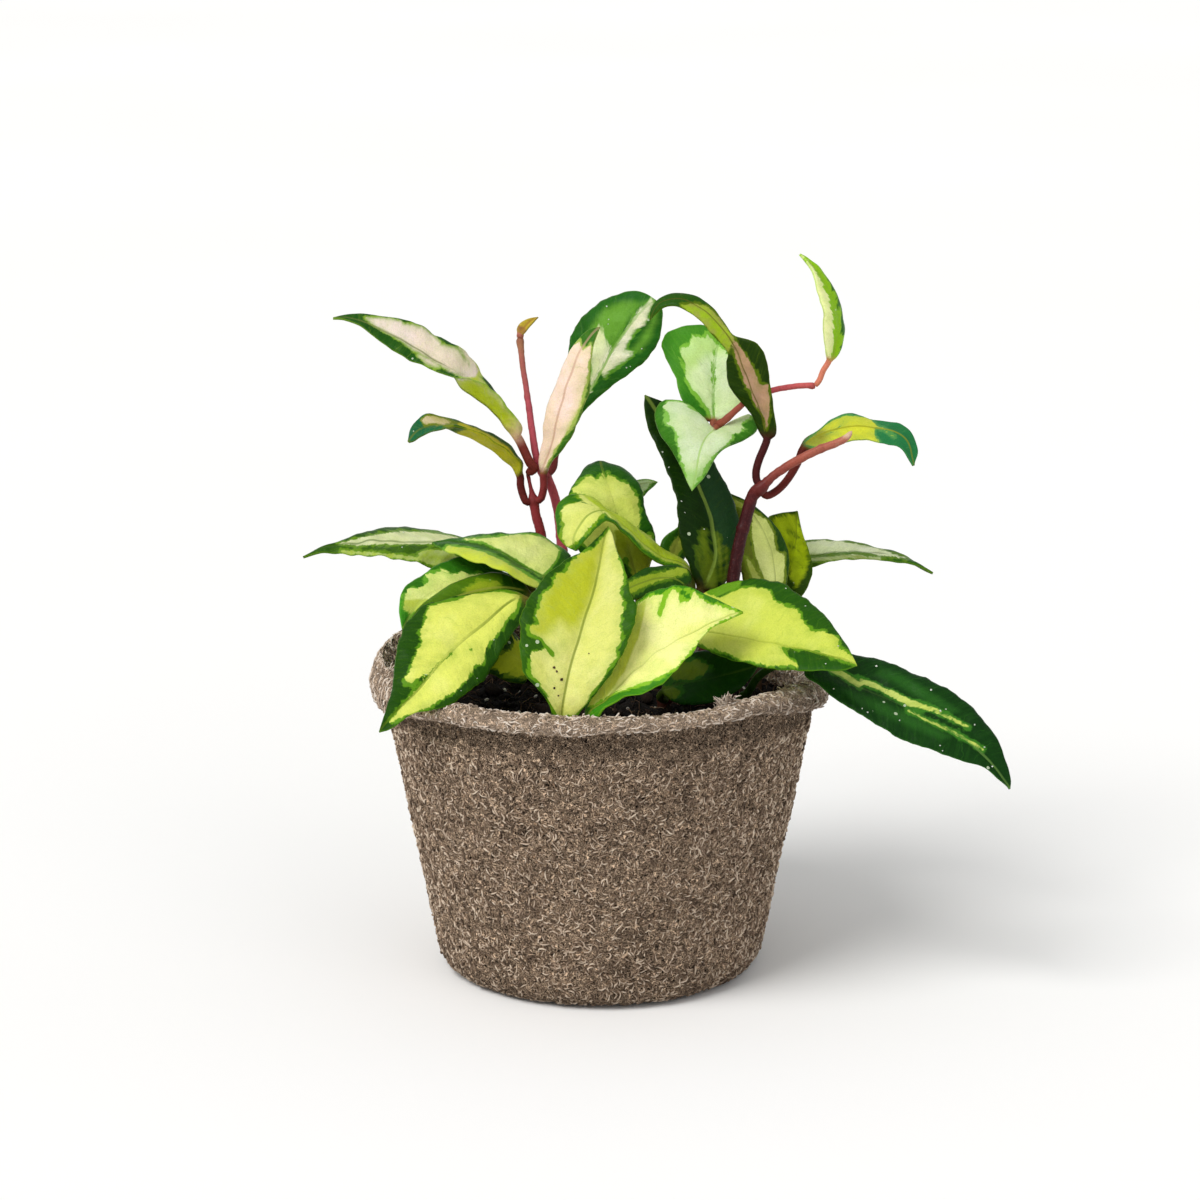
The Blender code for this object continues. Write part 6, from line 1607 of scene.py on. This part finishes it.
def build_fibres():
    rng = np.random.default_rng(7)
    mat = fibre_look("loose_fibre", (251, 230, 206), (158, 134, 113), (25, 18, 13))
    # the rim's threads: a lighter copy of the loose fibres, painted light as where light falls on the rim from above
    painted_lit_rim_mat = fibre_look("rim_fibre", (254, 242, 228), (212, 190, 169), (52, 39, 29))
    # outer wall, in bands round the pot so that no piece is too heavy
    count = 13000
    z_low, z_high = RIM_END + 0.8, SECTION_LENGTH - 1.5
    u = rng.uniform(0, 1, count)
    run = z_low + (z_high - z_low) * u ** 1.12
    angle = rng.uniform(-math.pi, math.pi, count)
    length = np.sort(np.clip(rng.lognormal(math.log(1.65), 0.40, count), 0.8, 4.2))
    lift = 0.07 + np.abs(rng.normal(0.03, 0.07, count))
    tuck = rng.uniform(0.04, 0.22, count)
    shade = np.clip(rng.beta(0.88, 0.84, count), 0, 1)
    thick = np.clip(rng.normal(0.30, 0.06, count), 0.17, 0.44)[:, None]
    # painted light along each thread's crest, painted shade on its sides where it meets the mat
    across = np.array([1.0, 0.16, 0.16])
    for k, pick in enumerate(np.array_split(np.arange(count), 3)):
        # the shorter threads need fewer points
        points = 4 if k < 2 else 6
        taper = np.array([0.6, 1.0, 0.95, 0.5]) if k < 2 else np.array([0.6, 1.0, 1.0, 1.0, 0.95, 0.5])
        paths, normals = fibre_paths(rng, len(pick), angle[pick], run[pick], length[pick], points, 0.85, lift[pick], tuck[pick])
        verts, faces = tubes(paths, thick[pick] * taper[None], outward=normals)
        # the ends sink into the mat and carry painted shade
        tone = (0.12 + 0.88 * shade[pick])[:, None] * (1 - 0.5 * np.abs(np.linspace(-1, 1, points))[None] ** 2)
        # low: darker towards the bottom, with painted shadow under the lip
        low = np.maximum(np.clip(1 - verts[:, 2] / 9.0, 0, 1) * 0.8, np.repeat(painted_lip_shadow(run[pick]), points * 3))
        make_piece("pot_wall_fibres_%d" % (k + 1), verts, faces, mat, (),
                   dict(shade=(tone[:, :, None] * across).ravel(), low=low))
    # rim: longer, looser threads
    count = 4300
    run = rng.uniform(RIM_START - 1.5, LIP_END - 0.4, count)
    angle = rng.uniform(-math.pi, math.pi, count)
    length = np.clip(rng.lognormal(math.log(1.9), 0.4, count), 1.0, 5.0)
    loose = rng.uniform(0, 1, count) > 0.95
    lift = np.where(loose, rng.uniform(0.15, 0.6, count), np.abs(rng.normal(0.02, 0.05, count)))
    tuck = rng.uniform(0.05, 0.24, count)
    paths, normals = fibre_paths(rng, count, angle, run, length, 5, 0.8, lift, tuck)
    # the ends of some stand off the rim
    stray = rng.uniform(0, 1, count) < 0.05
    out = unit(paths[:, -1] * np.array([1, 1, 0]))
    push = (np.linspace(0, 1, 5) ** 2)[None, :, None] * rng.uniform(0.3, 1.3, count)[:, None, None]
    direction = out * rng.uniform(-0.2, 0.9, count)[:, None] + np.array([0, 0, 1.0]) * rng.uniform(-0.6, 0.9, count)[:, None]
    paths = paths + np.where(stray[:, None, None], push * direction[:, None], 0)
    radius = np.clip(rng.normal(0.25, 0.06, count), 0.12, 0.40)[:, None] * np.array([0.7, 1, 1, 0.9, 0.45])[None]
    shade = 0.10 + 0.90 * np.clip(rng.beta(0.95, 0.75, count), 0, 1)
    verts, faces = tubes(paths, radius, outward=normals)
    # painted shade on the threads' sides and ends, and on the rim's lower face at the right (low)
    make_piece("pot_rim_fibres", verts, faces, painted_lit_rim_mat, (),
               dict(shade=(shade[:, None, None] * np.array([0.55, 0.9, 1, 0.9, 0.55])[None, :, None] * across).ravel(),
                    low=np.repeat(painted_rim_shade(angle, run), 15)))
    # the tuft on the rim at the right front, and loose ends under the lip
    tufts = [(732, 705, 36, 110, 1.2, 1.2), (812, 716, 18, 26, 0.7, -0.6), (398, 640, 10, 40, 1.1, 0.2), (384, 700, 12, 36, 1.0, 0.0)]
    paths, radii, shades = [], [], []
    for across, down, out_, n, spread, rise in tufts:
        centre = from_sheet([(across, down, out_)])[0]
        a = math.atan2(centre[1], centre[0])
        for _ in range(n):
            start_a = a + rng.normal(0, 0.016 * spread)
            start_r = RIM_START + rng.uniform(4.0, 9.0)
            p, nrm, rough = pot_surface(np.array([start_a]), np.array([start_r]))
            walk = p[0] + nrm[0] * rough[0]
            heading = unit(nrm[0] * rng.uniform(0.1, 0.8) + rng.normal(0, 0.6, 3) + np.array([0, 0, rise]))
            pts = [walk]
            for _ in range(6):
                heading = unit(heading + rng.normal(0, 0.35, 3) - nrm[0] * 0.12)
                walk = walk + heading * rng.uniform(0.35, 0.65) * spread
                pts.append(walk)
            paths.append(pts)
            radii.append(rng.uniform(0.12, 0.26) * np.array([1, 1, 1, 1, 0.9, 0.8, 0.4]))
            shades.append(rng.uniform(0.22, 0.75))
    verts, faces = tubes(np.array(paths), np.array(radii))
    make_piece("pot_rim_tufts", verts, faces, painted_lit_rim_mat, (), dict(shade=np.repeat(shades, 21), low=np.zeros(len(verts))))


# ---- soil --------------------------------------------------------------------
soil_lumps = Lumps(201, 9.0, 20)
crumb_lumps = Lumps(202, 2.4, 30)


def soil_height(p):
    """Top of the soil at points (x, y)."""
    q = np.column_stack([p[:, 0], p[:, 1], np.zeros(len(p))])
    r = np.hypot(p[:, 0], p[:, 1])
    angle = np.arctan2(p[:, 1], p[:, 0])
    wt, _, _ = warp(angle)
    return SOIL_TOP - 0.9 + 0.5 * soil_lumps(q) + 0.38 * crumb_lumps(q) - 1.2 * ease(r, 38, 47) + np.minimum(wt, 0) * 0.25 * ease(r, 30, 47)


def build_soil():
    around, rings = 260, 80
    angle = np.linspace(0, 2 * math.pi, around, endpoint=False)
    wall = INSIDE - GAP * 1.1 + TAPER * (SOIL_TOP - 7.8)
    radius = np.linspace(0.6, wall, rings)
    A, R = np.meshgrid(angle, radius)
    p = np.stack([R * np.cos(A), R * np.sin(A)], -1).reshape(-1, 2)
    top = np.column_stack([p, soil_height(p)])
    sides_z = [(58.0, 0), (30.0, 0), (6.9, 0)]
    extra = []
    for z, _ in sides_z:
        r = INSIDE - GAP * 1.1 + TAPER * (z - 6.0)
        extra.append(np.stack([r * np.cos(angle), r * np.sin(angle), np.full(around, z)], -1))
    r = INSIDE - 2.1
    extra.append(np.stack([r * np.cos(angle), r * np.sin(angle), np.full(around, POT_FLOOR + GAP + 0.1)], -1))
    verts = np.vstack([top] + extra + [np.array([[0, 0, float(soil_height(np.zeros((1, 2)))[0])], [0, 0, POT_FLOOR + GAP + 0.1]])])
    rows = rings + len(extra)
    quads = ring_faces(rows, around)[:, ::-1]
    last = rows * around
    a = np.arange(around)
    tris = np.vstack([np.stack([np.roll(a, -1), a, np.full(around, last)], -1)[:, ::-1],
                      np.stack([a, np.roll(a, -1), np.full(around, last + 1)], -1)[:, ::-1] + np.array([[(rows - 1) * around, (rows - 1) * around, 0]])])
    tris[around:] = np.stack([(rows - 1) * around + np.roll(a, -1), (rows - 1) * around + a, np.full(around, last + 1)], -1)
    tris[:around] = np.stack([a, np.roll(a, -1), np.full(around, last)], -1)
    mat = grit_look("potting_mix", [(0.0, (6, 4, 3)), (0.45, (20, 14, 11)), (0.75, (40, 29, 22)), (1.0, (70, 53, 40))], 0.8, (0.85, 1.0), 0.0012)
    rng = np.random.default_rng(5)
    make_piece("soil_bed", verts, [quads, tris], mat, ("soil",),
               dict(shade=0.35 + 0.12 * crumb_lumps(verts)))
    # crumbs, bark, perlite and root threads
    n = 760
    r = 46.3 * np.sqrt(rng.uniform(0.02, 1, n))
    a = rng.uniform(-math.pi, math.pi, n)
    p = np.stack([r * np.cos(a), r * np.sin(a)], -1)
    size = np.clip(rng.lognormal(math.log(0.85), 0.4, n), 0.4, 2.4)
    centre = np.column_stack([p, soil_height(p) + size * 0.25])
    verts, faces, shade = chunks(centre, size, 11, 2, 0.42, (0.45, 1.0))
    bark = grit_look("soil_crumb", [(0.0, (8, 6, 5)), (0.4, (26, 18, 14)), (0.8, (56, 40, 30)), (1.0, (98, 74, 54))], 1.4, (0.8, 1.0), 0.0006)
    make_piece("soil_crumbs", verts, faces, bark, (), dict(shade=shade * 0.8))
    spots = [(519, 691), (536, 698), (628, 707), (505, 689), (690, 702), (744, 688), (655, 706), (757, 684), (487, 700)]
    places = []
    for across, down in spots:
        # where that line of sight meets the soil
        out_ = 0.0
        for _ in range(12):
            q = from_sheet([(across, down, out_)])[0]
            out_ -= (q[2] - SOIL_TOP) / OUT[2] * 0.9
        places.append(q[:2])
    more = 26
    r = 44 * np.sqrt(rng.uniform(0.05, 1, more))
    a = rng.uniform(-math.pi, math.pi, more)
    p = np.vstack([np.array(places), np.stack([r * np.cos(a), r * np.sin(a)], -1)])
    size = np.concatenate([rng.uniform(0.36, 0.60, len(places)), rng.uniform(0.4, 0.8, more)])
    centre = np.column_stack([p, soil_height(p) + 0.25 + size * 0.8])
    verts, faces, shade = chunks(centre, size, 12, 2, 0.30, (0.7, 1.0))
    perlite = grit_look("perlite", [(0.0, (200, 196, 186)), (0.5, (228, 225, 218)), (1.0, (246, 244, 240))], 2.2, (0.7, 0.95), 0.0004)
    make_piece("soil_perlite", verts, faces, perlite, (), dict(shade=shade))
    n = 420
    r = 45 * np.sqrt(rng.uniform(0.02, 1, n))
    a = rng.uniform(-math.pi, math.pi, n)
    heading = rng.uniform(0, 2 * math.pi, n)
    length = rng.uniform(2.5, 8.0, n)
    t = np.linspace(-0.5, 0.5, 8)
    turn = heading[:, None] + rng.normal(0, 0.16, n)[:, None] * t * length[:, None] + 0.4 * np.sin(t[None] * 6 + rng.uniform(0, 6, n)[:, None])
    x = (r * np.cos(a))[:, None] + np.cumsum(np.cos(turn) * length[:, None] / 7, 1)
    y = (r * np.sin(a))[:, None] + np.cumsum(np.sin(turn) * length[:, None] / 7, 1)
    far = np.hypot(x, y)
    pull = np.minimum(1, 46.2 / far)
    x, y = x * pull, y * pull
    z = soil_height(np.column_stack([x.ravel(), y.ravel()])).reshape(x.shape) + 0.25 + 0.5 * np.sin(np.linspace(0, math.pi, 8))[None] * rng.uniform(0, 1, n)[:, None]
    paths = np.stack([x, y, z], -1)
    verts, faces = tubes(paths, rng.uniform(0.05, 0.16, n)[:, None] * np.ones((1, 8)), 4)
    thread = grit_look("soil_thread", [(0.0, (36, 25, 18)), (0.5, (78, 58, 42)), (1.0, (128, 104, 82))], 2.0, (0.8, 1.0), 0.0003)
    make_piece("soil_threads", verts, faces, thread, (), dict(shade=np.repeat(rng.uniform(0, 1, n), 32)))


# ---- build -------------------------------------------------------------------
for i, (stem_name, spec) in enumerate(STEMS.items()):
    build_stem(stem_name, spec, 300 + i)
for i, (leaf_name, spec) in enumerate(LEAVES.items()):
    build_leaf(leaf_name, spec, 400 + 13 * i)
build_pot()
build_fibres()
build_soil()

crumb = grit_look("leaf_crumb", [(0.0, (30, 20, 14)), (0.5, (60, 42, 28)), (1.0, (104, 80, 56))], 3.0, (0.8, 1.0), 0.0003)
dust = grit_look("leaf_dust", [(0.0, (214, 222, 204)), (0.5, (232, 238, 224)), (1.0, (246, 248, 242))], 3.0, (0.6, 0.9), 0.0002)
for kind, mat, flat in (("crumb", crumb, 0.7), ("dust", dust, 0.45)):
    centres, sizes = [], []
    for leaf_name, across, down, size, k in SPECKS:
        if k == kind:
            point, normal = on_leaf(leaf_name, across, down)
            centres.append(point + normal * size * 0.15)
            sizes.append(size)
    verts, faces, shade = chunks(np.array(centres), np.array(sizes), 31 if kind == "crumb" else 32, 2, 0.3, (flat, 0.9))
    make_piece("leaf_%ss" % kind, verts, faces, mat, (), dict(shade=shade))


# ---- floor, light and camera -----------------------------------------------------
bm = bmesh.new()
bmesh.ops.create_grid(bm, x_segments=8, y_segments=8, size=7.0)
floor_mesh = bpy.data.meshes.new("studio_floor")
bm.to_mesh(floor_mesh)
bm.free()
floor = bpy.data.objects.new("studio_floor", floor_mesh)
bpy.context.scene.collection.objects.link(floor)
floor.location = (0, 0, -0.0004)
floor_look = Look("studio_floor")
soft = floor_look.noise(floor_look.place(), 0.002, 2.0, 0.5)
floor_look.link(floor_look.mix(floor_look.step(soft, 0.2, 0.8), linear((251, 251, 250)), linear((253, 253, 253))), floor_look.shader.inputs["Base Color"])
floor_look.link(floor_look.step(soft, 0.2, 0.8, 0.85, 0.95), floor_look.shader.inputs["Roughness"])
floor_look.shader.inputs["Specular IOR Level"].default_value = 0.1
floor_mesh.materials.append(floor_look.mat)

world = bpy.context.scene.world or bpy.data.worlds.new("studio")
bpy.context.scene.world = world
world.use_nodes = True
background = world.node_tree.nodes["Background"]
background.inputs["Color"].default_value = (1.0, 1.0, 1.0, 1.0)
background.inputs["Strength"].default_value = 0.52


def sun(name, azimuth, elevation, strength, size, colour=(1, 1, 1)):
    """azimuth 0 shines from the camera's side, positive from the viewer's right."""
    data = bpy.data.lights.new(name, "SUN")
    data.energy = strength
    data.angle = math.radians(size)
    data.color = colour
    lamp = bpy.data.objects.new(name, data)
    bpy.context.scene.collection.objects.link(lamp)
    a, e = math.radians(azimuth), math.radians(elevation)
    source = Vector((math.sin(a) * math.cos(e), -math.cos(a) * math.cos(e), math.sin(e)))
    lamp.rotation_mode = "QUATERNION"
    lamp.rotation_quaternion = source.to_track_quat("Z", "Y")
    lamp.location = source * 2
    return lamp


sun("key_light", -47, 50, 2.0, 32, (1.0, 0.99, 0.97))
sun("fill_light", 40, 34, 0.25, 40, (0.99, 0.99, 1.0))

camera_data = bpy.data.cameras.new("studio_camera")
camera = bpy.data.objects.new("studio_camera", camera_data)
bpy.context.scene.collection.objects.link(camera)
aim = np.array([0.0, 0.0, SHEET_CENTRE_Z])
spot = (aim + OUT * VIEW_DISTANCE) * MM
camera.location = Vector(spot)
camera.rotation_mode = "QUATERNION"
camera.rotation_quaternion = Vector(-OUT).to_track_quat("-Z", "Y")
camera_data.sensor_width = 36.0
camera_data.sensor_fit = "AUTO"
camera_data.lens = 36.0 * VIEW_DISTANCE * SHEET_UNITS_PER_MM / 1200.0
camera_data.clip_start, camera_data.clip_end = 0.05, 40.0
bpy.context.scene.camera = camera
bpy.context.scene.view_settings.view_transform = "Standard"
bpy.context.scene.view_settings.look = "None"
